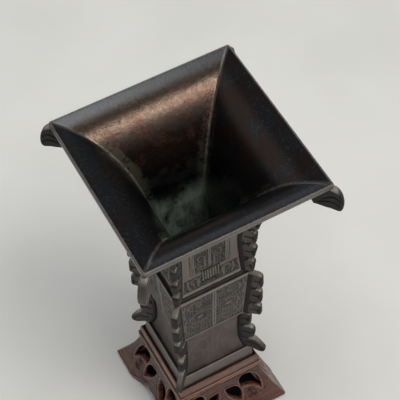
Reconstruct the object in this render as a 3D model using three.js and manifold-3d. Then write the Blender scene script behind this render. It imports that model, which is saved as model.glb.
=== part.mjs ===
import * as THREE from 'three';
import { mergeVertices } from 'three/addons/utils/BufferGeometryUtils.js';
import Module from 'manifold-3d';

// A square flared bronze vase with notched corner flanges, standing in a pierced hardwood stand.
// Millimetres, +Z up, with the origin on the floor under the middle of the stand.

const overallHeight = 225; // floor to rim

// Stand: aprons
const standFlare = 12; // how far each apron runs out from the rails to its toes
const apronProud = 0.2; // aprons beyond the grooves of the rails
const apronHeight = 29.5;
const apronThickness = 3.2;
const apronBow = 1.2; // how far the flare sags inwards from a straight slope
const toeRound = 2.4;
const toeLength = 13; // corner of the stand to the end of the arch
const archHeight = 8.5;
const pierceTopBar = 1.9; // wood left above the piercings
const pierceSideBar = 1.5; // wood left beside them, at the top of the apron
const strutWidth = 5.2; // wood left between the inner pair
const blockLeg = 5;
const blockHeight = 15;

// Stand: moulded rails and seat
const railHeight = 12.7;
const railWidth = 1.65; // recess to the grooves beside the beads
const beadReach = 0.9;
const upperBead = 1.8;
const lowerBead = 2.2;
const beadGroove = 0.7;
const railFoot = 1.6; // plain fillet under the lower bead
const railLip = 0.5; // flat top beside the recess
const railLedge = 5.6;
const recessDepth = 2;
const seatThickness = 4;

// Vase: foot and stem
const wall = 2;
const footWidth = 47.5;
const footBandTopWidth = 44.8;
const footBandHeight = 11.5;
const stemFootWidth = 41;
const stemWaistWidth = 35;
const stemHeight = 37.4;
const stemCove = 15; // height of the cove over the foot band
const tenonHeight = 4;
const floorThickness = 3;

// Vase: belly
const bellyLowWidth = 41;
const bellyTopWidth = 44.8;
const bellyHeight = 42.6;
const shoulderRise = 2;

// Vase: neck and mouth
const neckBaseWidth = 39.4;
const neckWaistWidth = 36.4;
const neckHeight = 27.3;
const spigotHeight = 4;
const spigotStep = 0.9;
const mouthWidth = 100;
const flareRise = 29; // height over which the flare still stays close to the neck
const flareReach = 20.6; // width over which the flare runs out to the lip
const flareFall = 4.8; // drop of the flare over that width
const lipHeight = 3.2;
const lipOverhang = 1.6;
const lipThickness = 1.2; // flat of the rim
const rimCornerRadius = 1.2;
const arrisRadius = 0.8;

// Flanges and beaks
const flangeThickness = 3.6;
const notchWidth = 3.2;
const notchDepth = 3.6;
const toothRound = 3; // upper outer corner of a tooth
const toothEase = 2; // lower outer corner of a tooth
const neckTeeth = 7;
const neckFlangeLow = 5.4;
const neckFlangeHigh = 8.4;
const bellyTeeth = 3;
const bellyFlangeLow = 8.4;
const bellyFlangeHigh = 6.4;
const bellyHeadRound = 3.6;
const bellyFootRise = 1.6; // lower edge, from the arris to the outer corner
const stemToothHeight = 10.8;
const stemToothReach = 7;
const stemLobeReach = 9.4;
const stemLobeRound = 3.4;
const hookHeight = 10;
const hookReach = 15.6;
const hookDroop = 2.4; // tip below the top of the foot band
const beakThickness = 4.4;
const beakReach = 5.8; // beyond the corner of the rim
const beakDrop = 17.4; // rim to the underside
const beakSole = 9; // underside, inwards from the corner of the rim
const beakLean = 7; // how far the root runs on inwards above that
const beakEdge = 0.8;

// Low relief on the faces
const reliefDepth = 0.5;
const strokeWidth = 1.5;
const ridgeWidth = 2.4;
const panelEdge = 1.8; // plain edge above and below a panel
const panelSide = 2.8; // plain edge beside the arrises
const eyeWidth = 5.6;
const eyeHeight = 3.4;
const scrollBandHeight = 10.6;
const leafWidth = 24;
const leafStraight = 26; // height up to which a leaf keeps its width
const leafHeight = 56;
const leafRib = 48;

// Fits
const seatClearance = 0.4; // foot of the vase in the recess, and the seat panel between the rails
const socketClearance = 0.3; // spigot and tenon in the belly, and the floor in the belly
const solderGap = 0.3; // flanges and beaks on the corners
const glueGap = 0.3; // mitres, and the blocks behind the aprons
const tierGap = 1; // between the flanges of two tiers
const sawOverrun = 1; // cuts beyond the faces they open

// Levels
const railTopZ = apronHeight + railHeight;
const seatZ = railTopZ - recessDepth;
const ledgeZ = seatZ - seatThickness;
const bandTopZ = seatZ + footBandHeight;
const bellyLowZ = bandTopZ + stemHeight;
const bellyTopZ = bellyLowZ + bellyHeight;
const shoulderZ = bellyTopZ + shoulderRise;
const waistZ = shoulderZ + neckHeight;
const rimZ = overallHeight;
const lipLowZ = rimZ - lipHeight;
const beakLowZ = rimZ - beakDrop;
const beakHighZ = lipLowZ - solderGap;
const bandLowZ = shoulderZ + panelEdge;
const leafLowZ = bandLowZ + scrollBandHeight + panelEdge;
const recessHalf = footWidth / 2 + seatClearance;
const railNeckHalf = recessHalf + railWidth;
const standTopHalf = railNeckHalf + apronProud;
const standFootHalf = standTopHalf + standFlare;
const stemTopHalf = bellyLowWidth / 2 - wall - socketClearance;

const curveSteps = 12;
const strokeSteps = 2;
const cornerSteps = 2;
const outlineSteps = 6;
const combSteps = 3;
const plateSteps = 4;
const runSteps = 200;
const mouldingSteps = 5;
const apronSteps = 8;
const quadrants = [[1, 1], [-1, 1], [-1, -1], [1, -1]];
const quarterTurn = Math.PI / 2;
const diagonal = Math.SQRT2;
const rimCorner = diagonal * mouthWidth / 2 - rimCornerRadius * (diagonal - 1);

const bronze = new THREE.MeshStandardMaterial({ color: 0x4b423a, roughness: 0.5, metalness: 0.9 });
const hardwood = new THREE.MeshStandardMaterial({ color: 0x5e3024, roughness: 0.5, metalness: 0 });

const wasm = await Module();
wasm.setup();

// A closed solid from a geometry: shared corners merged and collapsed triangles left out
function solidOf(geometry) {
  const bare = geometry.clone();
  bare.deleteAttribute('normal');
  bare.deleteAttribute('uv');
  const merged = mergeVertices(bare, 1e-5);
  const corners = merged.index.array;
  const kept = [];
  for (let i = 0; i < corners.length; i += 3) {
    const [a, b, c] = corners.slice(i, i + 3);
    if (a !== b && b !== c && c !== a) kept.push(a, b, c);
  }
  const vertProperties = new Float32Array(merged.attributes.position.array);
  const triVerts = new Uint32Array(kept);
  return new wasm.Manifold(new wasm.Mesh({ numProp: 3, vertProperties, triVerts }));
}

function geometryOf(solid) {
  const mesh = solid.getMesh();
  const geometry = new THREE.BufferGeometry();
  geometry.setAttribute('position', new THREE.BufferAttribute(new Float32Array(mesh.vertProperties), 3));
  geometry.setIndex(new THREE.BufferAttribute(new Uint32Array(mesh.triVerts), 1));
  geometry.computeVertexNormals();
  return geometry;
}

// A level square ring with rounded corners, counter-clockwise seen from above
function squareRing({ half, z, radius }) {
  const ring = [];
  quadrants.forEach(([signX, signY], corner) => {
    for (let step = 0; step <= cornerSteps; step += 1) {
      const angle = (corner + step / cornerSteps) * quarterTurn;
      const x = signX * (half - radius) + radius * Math.cos(angle);
      const y = signY * (half - radius) + radius * Math.sin(angle);
      ring.push(x, y, z);
    }
  });
  return ring;
}

// A loft through square rings that runs up the outside and back down the inside, or along the axis
function squareLoft(loop) {
  const perRing = quadrants.length * (cornerSteps + 1);
  const index = [];
  for (let row = 0; row < loop.length; row += 1) {
    const low = row * perRing;
    const high = ((row + 1) % loop.length) * perRing;
    for (let i = 0; i < perRing; i += 1) {
      const next = (i + 1) % perRing;
      index.push(low + i, low + next, high + next, low + i, high + next, high + i);
    }
  }
  const geometry = new THREE.BufferGeometry();
  geometry.setAttribute('position', new THREE.Float32BufferAttribute(loop.flatMap(squareRing), 3));
  geometry.setIndex(index);
  return geometry;
}

const ringAt = (half, z, radius = arrisRadius) => ({ half, z, radius });
const axisAt = (z) => ({ half: 0, z, radius: 0 });

// Rings along a curve drawn as half width against height, moved off it by grow
function ringsAlong(curve, grow = 0) {
  return curve.getPoints(curveSteps).map((point, i) => {
    const along = curve.getTangent(i / curveSteps);
    return ringAt(point.x + grow * along.y, point.y - grow * along.x);
  });
}

function bezier(...pairs) {
  return new THREE.CubicBezierCurve(...pairs.map(([half, z]) => new THREE.Vector2(half, z)));
}

// Curves of the vase: the cove of the stem and the trumpet of the mouth, outside and inside
function stemCurve(inset) {
  const waist = stemWaistWidth / 2 - inset;
  return bezier(
    [stemFootWidth / 2 - inset, bandTopZ],
    [waist, bandTopZ + stemCove / 3],
    [waist, bandTopZ + stemCove],
    [stemTopHalf - inset, bellyLowZ],
  );
}

const flareOutside = bezier(
  [neckWaistWidth / 2, waistZ],
  [neckWaistWidth / 2, waistZ + flareRise],
  [mouthWidth / 2 - lipOverhang - flareReach, lipLowZ - flareFall],
  [mouthWidth / 2 - lipOverhang, lipLowZ],
);

const flareInside = bezier(
  [mouthWidth / 2 - lipThickness, rimZ],
  [mouthWidth / 2 - lipThickness - flareReach, rimZ - flareFall],
  [neckWaistWidth / 2 - wall, waistZ + flareRise],
  [neckWaistWidth / 2 - wall, waistZ],
);

// Outside of the whole vase as one solid, grown to fit the flanges and beaks to, or shrunk for the relief
function vaseEnvelope(grow) {
  return solidOf(squareLoft([
    axisAt(seatZ),
    ringAt(footWidth / 2 + grow, seatZ),
    ringAt(footBandTopWidth / 2 + grow, bandTopZ),
    ...ringsAlong(stemCurve(0), grow),
    ringAt(bellyLowWidth / 2 + grow, bellyLowZ),
    ringAt(bellyTopWidth / 2 + grow, bellyTopZ),
    ringAt(neckBaseWidth / 2 + grow, shoulderZ),
    ...ringsAlong(flareOutside, grow).slice(0, -1),
    ringAt(mouthWidth / 2 - lipOverhang, lipLowZ - grow),
    ringAt(mouthWidth / 2 + grow, lipLowZ - grow, rimCornerRadius),
    ringAt(mouthWidth / 2 + grow, rimZ, rimCornerRadius),
    axisAt(rimZ),
  ]));
}

// A shape drawn across and up the side that faces +X, or that side turned, as a prism outwards from the axis
function prism(shape, turn = 0) {
  const geometry = new THREE.ExtrudeGeometry(shape, {
    depth: overallHeight,
    bevelEnabled: false,
    curveSegments: outlineSteps,
  });
  geometry.rotateX(quarterTurn);
  geometry.rotateZ(quarterTurn + turn);
  return solidOf(geometry);
}

// A carver's stroke of even width along a smooth line
function stroke(points, width) {
  const line = new THREE.SplineCurve(points.map(([x, z]) => new THREE.Vector2(x, z)));
  const steps = strokeSteps * (points.length - 1);
  const left = [];
  const right = [];
  for (let i = 0; i <= steps; i += 1) {
    const along = line.getTangent(i / steps);
    const aside = new THREE.Vector2(-along.y, along.x);
    left.push(line.getPoint(i / steps).addScaledVector(aside, width / 2));
    right.unshift(line.getPoint(i / steps).addScaledVector(aside, -width / 2));
  }
  return new THREE.Shape([...left, ...right]);
}

function panelShape(lowHalf, highHalf, lowZ, highZ) {
  const corners = [[-lowHalf, lowZ], [lowHalf, lowZ], [highHalf, highZ], [-highHalf, highZ]];
  return new THREE.Shape(corners.map(([x, z]) => new THREE.Vector2(x, z)));
}

const skin = vaseEnvelope(sawOverrun).subtract(vaseEnvelope(-reliefDepth));

// A section of the vase with its panels cut back on all four sides, down to the ground between the strokes
function engraved(section, panels, strokes) {
  let solid = solidOf(section);
  quadrants.forEach((_, side) => {
    const turn = side * quarterTurn;
    let ground = panels.map((shape) => prism(shape, turn)).reduce((sum, panel) => sum.add(panel));
    for (const shape of strokes) ground = ground.subtract(prism(shape, turn));
    solid = solid.subtract(ground.intersect(skin));
  });
  return geometryOf(solid);
}

// Mask on a face of the belly, drawn in shares of its panel: a nose ridge between horns, brows, eyes and jaws
function bellyMask() {
  const lowHalf = bellyLowWidth / 2 - panelSide;
  const highHalf = bellyTopWidth / 2 - panelSide;
  const lowZ = bellyLowZ + panelEdge;
  const highZ = bellyTopZ - panelEdge;
  const lines = [
    [[0.18, 0.67], [0.5, 0.66], [0.79, 0.78], [0.66, 0.93], [0.42, 0.87]],
    [[0.18, 0.58], [0.48, 0.61], [0.74, 0.55], [0.82, 0.44]],
    [[0.17, 0.38], [0.42, 0.34], [0.66, 0.35], [0.76, 0.41]],
    [[0.17, 0.24], [0.44, 0.2], [0.68, 0.22], [0.78, 0.3]],
    [[0.93, 0.58], [0.97, 0.76], [0.9, 0.94]],
    [[0.93, 0.49], [0.97, 0.32], [0.9, 0.15], [0.7, 0.08]],
  ];
  const at = (side, [x, z]) => [
    side * x * THREE.MathUtils.lerp(lowHalf, highHalf, z),
    THREE.MathUtils.lerp(lowZ, highZ, z),
  ];
  const strokes = [stroke([at(1, [0, 0.04]), at(1, [0, 0.96])], ridgeWidth)];
  for (const side of [-1, 1]) {
    for (const line of lines) strokes.push(stroke(line.map((point) => at(side, point)), strokeWidth));
    const [eyeX, eyeZ] = at(side, [0.46, 0.48]);
    const eye = new THREE.Shape();
    eye.absellipse(eyeX, eyeZ, eyeWidth / 2, eyeHeight / 2, 0, 4 * quarterTurn);
    strokes.push(eye);
  }
  return { panels: [panelShape(lowHalf, highHalf, lowZ, highZ)], strokes };
}

// Scroll band round the foot of the neck and a leaf over it on each face, drawn in shares of their own sizes
function neckLeaves() {
  const bandHalf = neckWaistWidth / 2 - panelSide;
  const half = leafWidth / 2;
  const straightZ = leafLowZ + leafStraight;
  const pointZ = leafLowZ + leafHeight;
  const bendZ = (straightZ + pointZ) / 2;
  const leaf = new THREE.Shape();
  leaf.moveTo(-half, leafLowZ);
  leaf.lineTo(half, leafLowZ);
  leaf.lineTo(half, straightZ);
  leaf.quadraticCurveTo(half, bendZ, 0, pointZ);
  leaf.quadraticCurveTo(-half, bendZ, -half, straightZ);
  leaf.closePath();
  const scrolls = [
    [[0.18, 0.14], [0.22, 0.76], [0.48, 0.8], [0.46, 0.34]],
    [[0.66, 0.14], [0.7, 0.76], [0.92, 0.78], [0.9, 0.34]],
  ];
  const vein = [[0.8, 0.02], [0.8, 0.4], [0.62, 0.62], [0.24, 0.84]];
  const strokes = [
    stroke([[0, bandLowZ], [0, bandLowZ + scrollBandHeight]], strokeWidth),
    stroke([[0, leafLowZ], [0, leafLowZ + leafRib]], strokeWidth),
  ];
  for (const side of [-1, 1]) {
    const inBand = ([x, z]) => [side * bandHalf * x, bandLowZ + scrollBandHeight * z];
    const inLeaf = ([x, z]) => [side * half * x, leafLowZ + leafHeight * z];
    for (const line of scrolls) strokes.push(stroke(line.map(inBand), strokeWidth));
    strokes.push(stroke(vein.map(inLeaf), strokeWidth));
  }
  const band = panelShape(bandHalf, bandHalf, bandLowZ, bandLowZ + scrollBandHeight);
  return { panels: [band, leaf], strokes };
}

function mouthSection() {
  const baseHalf = neckBaseWidth / 2;
  const { panels, strokes } = neckLeaves();
  return engraved(squareLoft([
    ringAt(baseHalf - wall, shoulderZ - spigotHeight),
    ringAt(baseHalf - spigotStep, shoulderZ - spigotHeight),
    ringAt(baseHalf - spigotStep, shoulderZ),
    ringAt(baseHalf, shoulderZ),
    ...ringsAlong(flareOutside),
    ringAt(mouthWidth / 2, lipLowZ, rimCornerRadius),
    ringAt(mouthWidth / 2, rimZ, rimCornerRadius),
    ...ringsAlong(flareInside),
    ringAt(baseHalf - wall, shoulderZ),
  ]), panels, strokes);
}

function bellySection() {
  const socketHalf = neckBaseWidth / 2 - spigotStep + socketClearance;
  const { panels, strokes } = bellyMask();
  return engraved(squareLoft([
    ringAt(bellyLowWidth / 2 - wall, bellyLowZ),
    ringAt(bellyLowWidth / 2, bellyLowZ),
    ringAt(bellyTopWidth / 2, bellyTopZ),
    ringAt(neckBaseWidth / 2, shoulderZ),
    ringAt(socketHalf, shoulderZ),
    ringAt(socketHalf, shoulderZ - wall),
    ringAt(bellyTopWidth / 2 - wall, bellyTopZ - wall),
  ]), panels, strokes);
}

function footSection() {
  return squareLoft([
    ringAt(footWidth / 2 - wall, seatZ),
    ringAt(footWidth / 2, seatZ),
    ringAt(footBandTopWidth / 2, bandTopZ),
    ...ringsAlong(stemCurve(0)),
    ringAt(stemTopHalf, bellyLowZ + tenonHeight),
    ringAt(stemTopHalf - wall, bellyLowZ + tenonHeight),
    ...ringsAlong(stemCurve(wall)).reverse(),
  ]);
}

function vaseFloor() {
  const lowZ = bellyLowZ + tenonHeight;
  const half = bellyLowWidth / 2 - wall - socketClearance;
  return squareLoft([
    axisAt(lowZ),
    ringAt(half, lowZ),
    ringAt(half, lowZ + floorThickness),
    axisAt(lowZ + floorThickness),
  ]);
}

// Outline of a comb of rounded teeth, drawn along a straight edge: x away from the edge, y along it
function combShape(length, count, reachAt, headRound, footRise = 0) {
  const pitch = (length + notchWidth) / count;
  const shape = new THREE.Shape();
  shape.moveTo(-flangeThickness, 0);
  for (let i = 0; i < count; i += 1) {
    const low = i * pitch;
    const high = low + pitch - notchWidth;
    const middle = (low + high) / 2;
    const last = i === count - 1;
    const round = last ? headRound : toothRound;
    const outerLow = i === 0 ? low + footRise : low;
    shape.lineTo(reachAt(low) - toothEase, outerLow);
    shape.quadraticCurveTo(reachAt(low), outerLow, reachAt(low), outerLow + toothEase);
    shape.lineTo(reachAt(middle), middle);
    shape.lineTo(reachAt(high), high - round);
    shape.quadraticCurveTo(reachAt(high), high, reachAt(high) - round, high);
    if (!last) {
      shape.lineTo(reachAt(high) - notchDepth, high);
      shape.lineTo(reachAt(high) - notchDepth, low + pitch);
    }
  }
  shape.lineTo(-flangeThickness, length);
  for (let i = count - 1; i > 0; i -= 1) shape.lineTo(-flangeThickness, i * pitch);
  shape.closePath();
  return shape;
}

// The same outline bent along a corner of the vase, in the upright plane through that corner
function bentAlong(corner, shape) {
  const full = corner.getLength();
  const bent = shape.extractPoints(combSteps).shape.map((point) => {
    const share = THREE.MathUtils.clamp(point.y / full, 0, 1);
    const along = corner.getTangentAt(share);
    const out = new THREE.Vector2(along.y, -along.x);
    return corner.getPointAt(share).addScaledVector(out, point.x);
  });
  return new THREE.Shape(bent);
}

const envelope = vaseEnvelope(solderGap);

// A plate cut to an outline, stood upright along the diagonal and coped over the corner of the vase
function copedPlate(shape, thickness, edge) {
  const geometry = new THREE.ExtrudeGeometry(shape, {
    depth: thickness - 2 * edge,
    curveSegments: plateSteps,
    bevelEnabled: edge > 0,
    bevelThickness: edge,
    bevelSize: edge,
    bevelOffset: -edge,
    bevelSegments: 2,
  });
  geometry.translate(0, 0, edge - thickness / 2);
  geometry.rotateX(quarterTurn);
  geometry.rotateZ(quarterTurn / 2);
  return geometryOf(solidOf(geometry).subtract(envelope));
}

// Corner line of a stretch of the vase, from half widths to distances along the diagonal
function cornerLine(...pairs) {
  return new THREE.SplineCurve(pairs.map(([half, z]) => new THREE.Vector2(half * diagonal, z)));
}

// Inner end of a beak, as a distance along the diagonal at a height
function beakRootAt(z) {
  return rimCorner - beakSole - beakLean * (z - beakLowZ) / (beakHighZ - beakLowZ);
}

// Length of a corner line up to the beak over it
function runToBeak(corner) {
  const samples = corner.getSpacedPoints(runSteps);
  const below = samples.filter((point) => point.x < beakRootAt(point.y));
  return corner.getLength() * below.length / samples.length;
}

function neckFlange() {
  const flare = flareOutside.getPoints(curveSteps).map((point) => [point.x, point.y]);
  const corner = cornerLine([neckBaseWidth / 2, shoulderZ + solderGap], ...flare);
  const length = runToBeak(corner) - tierGap;
  const reachAt = (run) => {
    const growth = THREE.MathUtils.smoothstep(run, 0, neckHeight);
    return THREE.MathUtils.lerp(neckFlangeLow, neckFlangeHigh, growth);
  };
  const comb = combShape(length, neckTeeth, reachAt, toothRound);
  return copedPlate(bentAlong(corner, comb), flangeThickness, 0);
}

function bellyFlange() {
  const corner = cornerLine([bellyLowWidth / 2, bellyLowZ + tierGap / 2], [bellyTopWidth / 2, bellyTopZ]);
  const length = corner.getLength();
  const reachAt = (run) => THREE.MathUtils.lerp(bellyFlangeLow, bellyFlangeHigh, run / length);
  const comb = combShape(length, bellyTeeth, reachAt, bellyHeadRound, bellyFootRise);
  return copedPlate(bentAlong(corner, comb), flangeThickness, 0);
}

// The stem's flange: a drooping hook, a round lobe and a square tooth, from the foot band up
function stemFlange() {
  const waist = diagonal * stemWaistWidth / 2;
  const root = waist - diagonal * wall;
  const hookLowZ = bandTopZ + solderGap;
  const hookHighZ = hookLowZ + hookHeight;
  const toothHighZ = bellyLowZ - tierGap / 2;
  const toothLowZ = toothHighZ - stemToothHeight;
  const lobeLowZ = hookHighZ + notchWidth / 2;
  const lobeHighZ = toothLowZ - notchWidth;
  const lobeReach = waist + stemLobeReach;
  const toothReach = waist + stemToothReach;
  const tip = waist + hookReach;
  const tipLowZ = hookLowZ - hookDroop;
  const bandCorner = diagonal * footBandTopWidth / 2 + solderGap;
  const shape = new THREE.Shape();
  shape.moveTo(root, hookLowZ);
  shape.lineTo(bandCorner, hookLowZ);
  shape.quadraticCurveTo((bandCorner + tip) / 2, tipLowZ, tip - toothRound, tipLowZ);
  shape.quadraticCurveTo(tip, tipLowZ, tip, tipLowZ + toothRound);
  shape.quadraticCurveTo(tip - toothRound, hookHighZ - hookHeight / 3, lobeReach, hookHighZ);
  shape.lineTo(lobeReach - notchDepth, hookHighZ);
  shape.lineTo(lobeReach - notchDepth, lobeLowZ);
  shape.lineTo(lobeReach - stemLobeRound, lobeLowZ);
  shape.quadraticCurveTo(lobeReach, lobeLowZ, lobeReach, (lobeLowZ + lobeHighZ) / 2);
  shape.quadraticCurveTo(lobeReach, lobeHighZ, lobeReach - stemLobeRound, lobeHighZ);
  shape.lineTo(toothReach - notchDepth, lobeHighZ);
  shape.lineTo(toothReach - notchDepth, toothLowZ);
  shape.lineTo(toothReach - toothEase, toothLowZ);
  shape.quadraticCurveTo(toothReach, toothLowZ, toothReach, toothLowZ + toothEase);
  shape.lineTo(toothReach, toothHighZ - toothEase);
  shape.quadraticCurveTo(toothReach, toothHighZ, toothReach - toothEase, toothHighZ);
  shape.lineTo(root, toothHighZ);
  shape.closePath();
  return copedPlate(shape, flangeThickness, 0);
}

// A beak under a corner of the mouth: flat below, with a round brow that falls to a blunt tip
function mouthBeak() {
  const tip = rimCorner + beakReach;
  const tipLowZ = beakLowZ - toothEase / 2;
  const shape = new THREE.Shape();
  shape.moveTo(beakRootAt(beakLowZ), beakLowZ);
  shape.lineTo(rimCorner, beakLowZ);
  shape.lineTo(tip - toothRound, tipLowZ);
  shape.quadraticCurveTo(tip, tipLowZ, tip, beakLowZ + toothRound);
  shape.bezierCurveTo(tip, beakLowZ + beakDrop / 2, tip - beakReach / 2, beakHighZ, rimCorner, beakHighZ);
  shape.lineTo(beakRootAt(beakHighZ), beakHighZ);
  shape.closePath();
  return copedPlate(shape, beakThickness, beakEdge);
}

// The quarter of the stand that faces +X, between two mitres
function mitreWedge() {
  const apex = glueGap / diagonal;
  const far = 2 * standFootHalf;
  const shape = new THREE.Shape([
    new THREE.Vector2(apex, 0),
    new THREE.Vector2(far, apex - far),
    new THREE.Vector2(far, far - apex),
  ]);
  const wedge = new THREE.ExtrudeGeometry(shape, { depth: railTopZ + 2 * sawOverrun, bevelEnabled: false });
  wedge.translate(0, 0, -sawOverrun);
  return solidOf(wedge);
}

// Section of a rail, run round the square and cut at the mitres
function topRail() {
  const lowerBeadZ = apronHeight + railFoot;
  const upperBeadZ = lowerBeadZ + lowerBead + beadGroove;
  const brow = new THREE.EllipseCurve(
    recessHalf + railLip,
    upperBeadZ + upperBead,
    railWidth - railLip,
    railTopZ - upperBeadZ - upperBead,
    0,
    quarterTurn,
  );
  const bead = (lowZ, height) => new THREE.EllipseCurve(
    railNeckHalf,
    lowZ + height / 2,
    beadReach,
    height / 2,
    -quarterTurn,
    quarterTurn,
  );
  const rings = (curve) => curve.getPoints(mouldingSteps).map((point) => ringAt(point.x, point.y, 0));
  const loft = squareLoft([
    ringAt(recessHalf - railLedge, apronHeight, 0),
    ringAt(railNeckHalf, apronHeight, 0),
    ...rings(bead(lowerBeadZ, lowerBead)),
    ...rings(bead(upperBeadZ, upperBead)),
    ...rings(brow),
    ringAt(recessHalf, railTopZ, 0),
    ringAt(recessHalf, ledgeZ, 0),
    ringAt(recessHalf - railLedge, ledgeZ, 0),
  ]);
  return geometryOf(solidOf(loft).intersect(mitreWedge()));
}

function seatPanel() {
  const half = recessHalf - seatClearance;
  return squareLoft([axisAt(ledgeZ), ringAt(half, ledgeZ), ringAt(half, seatZ), axisAt(seatZ)]);
}

// Face of the aprons, as half width against height, from the rounded toe up to the rails
function apronRings(inset) {
  const third = standFlare / 3;
  const face = bezier(
    [standFootHalf - inset, toeRound],
    [standFootHalf - third - apronBow - inset, apronHeight / 3],
    [standTopHalf + third - apronBow - inset, apronHeight * 2 / 3],
    [standTopHalf - inset, apronHeight],
  );
  const sole = ringAt(standFootHalf - toeRound / 2 - inset, 0, 0);
  return [sole, ...face.getPoints(apronSteps).map((point) => ringAt(point.x, point.y, 0))];
}

// Piercings of one apron, drawn across and up its face: an arch, two crescents and two leaning drops
function piercings() {
  const topZ = apronHeight - pierceTopBar;
  const rise = topZ - archHeight;
  const z = (share) => archHeight + rise * share;
  const inner = strutWidth / 2;
  const outer = standTopHalf - pierceSideBar;
  const x = (share) => inner + (outer - inner) * share;
  const halfArch = standFootHalf - toeLength;
  const shapes = [];
  const arch = new THREE.Shape();
  arch.moveTo(-halfArch, -sawOverrun);
  arch.lineTo(-halfArch, 0);
  arch.bezierCurveTo(-halfArch * 0.6, archHeight * 0.1, -halfArch * 0.4, archHeight, 0, archHeight);
  arch.bezierCurveTo(halfArch * 0.4, archHeight, halfArch * 0.6, archHeight * 0.1, halfArch, 0);
  arch.lineTo(halfArch, -sawOverrun);
  arch.closePath();
  shapes.push(arch);
  for (const side of [-1, 1]) {
    const crescent = new THREE.Shape();
    crescent.moveTo(side * x(1), z(0.22));
    crescent.bezierCurveTo(side * x(1.03), z(0.68), side * x(0.84), z(1), side * x(0.59), z(1));
    crescent.bezierCurveTo(side * x(0.42), z(1), side * x(0.38), z(0.78), side * x(0.47), z(0.56));
    crescent.bezierCurveTo(side * x(0.62), z(0.55), side * x(0.83), z(0.52), side * x(1), z(0.22));
    const drop = new THREE.Shape();
    drop.moveTo(side * x(0.34), z(0.14));
    drop.bezierCurveTo(side * x(0.46), z(0.3), side * x(0.42), z(0.64), side * x(0.22), z(0.74));
    drop.lineTo(side * x(0), z(0.76));
    drop.bezierCurveTo(side * x(0), z(0.5), side * x(0.08), z(0.36), side * x(0.34), z(0.14));
    shapes.push(crescent, drop);
  }
  return shapes;
}

// An apron: the flared skirt cut at the mitres, then sawn through along its outlines
function apron() {
  const skirt = squareLoft([...apronRings(0), ...apronRings(apronThickness).reverse()]);
  let solid = solidOf(skirt).intersect(mitreWedge());
  for (const shape of piercings()) solid = solid.subtract(prism(shape));
  return geometryOf(solid);
}

// A glue block in the corner behind two aprons, leaning outwards with them
function cornerBlock() {
  const inside = apronRings(apronThickness + glueGap);
  const cavity = squareLoft([axisAt(0), ...inside, axisAt(apronHeight)]);
  const lean = -standFlare / apronHeight;
  const far = standFootHalf;
  const near = 2 * (standTopHalf - apronThickness - glueGap) - blockLeg - far;
  const shape = new THREE.Shape([
    new THREE.Vector2(near, far),
    new THREE.Vector2(far, near),
    new THREE.Vector2(far, far),
  ]);
  const post = new THREE.ExtrudeGeometry(shape, { depth: blockHeight, bevelEnabled: false });
  post.translate(0, 0, -blockHeight);
  post.applyMatrix4(new THREE.Matrix4().makeShear(0, 0, 0, 0, lean, lean));
  post.translate(0, 0, apronHeight - glueGap);
  return geometryOf(solidOf(cavity).intersect(solidOf(post)));
}

function addPiece(group, name, geometry, material, turn = 0) {
  const mesh = new THREE.Mesh(geometry, material);
  mesh.name = name;
  mesh.rotation.z = turn;
  group.add(mesh);
}

// Corners and sides in steps of a quarter turn from +X, +Y
const corners = ['back_right', 'back_left', 'front_left', 'front_right'];
const sides = ['right', 'back', 'left', 'front'];

function addAround(group, names, prefix, geometry, material) {
  names.forEach((name, i) => addPiece(group, `${prefix}_${name}`, geometry, material, i * quarterTurn));
}

const vase = new THREE.Group();
addPiece(vase, 'mouth_section', mouthSection(), bronze);
addPiece(vase, 'belly_section', bellySection(), bronze);
addPiece(vase, 'foot_section', footSection(), bronze);
addPiece(vase, 'vase_floor', vaseFloor(), bronze);
addAround(vase, corners, 'mouth_beak', mouthBeak(), bronze);
addAround(vase, corners, 'neck_flange', neckFlange(), bronze);
addAround(vase, corners, 'belly_flange', bellyFlange(), bronze);
addAround(vase, corners, 'foot_flange', stemFlange(), bronze);

const stand = new THREE.Group();
addAround(stand, sides, 'top_rail', topRail(), hardwood);
addPiece(stand, 'seat_panel', seatPanel(), hardwood);
addAround(stand, sides, 'apron', apron(), hardwood);
addAround(stand, corners, 'corner_block', cornerBlock(), hardwood);

const fangZun = new THREE.Group();
fangZun.add(vase, stand);

export default fangZun;
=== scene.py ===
import bpy
import numpy as np
from mathutils import Matrix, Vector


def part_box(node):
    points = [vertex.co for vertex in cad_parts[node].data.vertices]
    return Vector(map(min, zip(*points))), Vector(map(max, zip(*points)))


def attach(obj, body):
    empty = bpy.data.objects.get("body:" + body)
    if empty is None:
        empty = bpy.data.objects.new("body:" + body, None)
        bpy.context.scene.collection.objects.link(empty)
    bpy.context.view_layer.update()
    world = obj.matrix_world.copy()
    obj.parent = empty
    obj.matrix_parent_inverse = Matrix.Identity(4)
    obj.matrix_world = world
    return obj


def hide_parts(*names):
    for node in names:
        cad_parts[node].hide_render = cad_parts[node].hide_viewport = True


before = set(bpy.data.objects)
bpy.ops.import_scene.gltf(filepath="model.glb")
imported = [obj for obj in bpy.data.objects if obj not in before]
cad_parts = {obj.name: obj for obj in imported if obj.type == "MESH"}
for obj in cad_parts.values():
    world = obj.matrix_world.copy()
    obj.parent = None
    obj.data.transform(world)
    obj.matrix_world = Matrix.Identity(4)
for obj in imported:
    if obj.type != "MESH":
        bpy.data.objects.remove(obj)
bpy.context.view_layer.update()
mm = 0.001  # shapes are worked out in millimetres and go into the meshes in metres
rootTwo = np.sqrt(2.0)
upright = np.array([0, 0, 1.0])
cornerNames = ["back_right", "back_left", "front_left", "front_right"]  # quarter turns from +X +Y
sideNames = ["right", "back", "left", "front"]  # quarter turns from +X
quarterTurns = [np.array([[c, -s], [s, c]], float) for c, s in [(1, 0), (0, 1), (-1, 0), (0, -1)]]
print("frame loaded,", len(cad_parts), "nodes")


def span(node):  # lowest and highest corner of a CAD node, in millimetres
    low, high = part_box(node)
    return np.array(low) / mm, np.array(high) / mm


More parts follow.
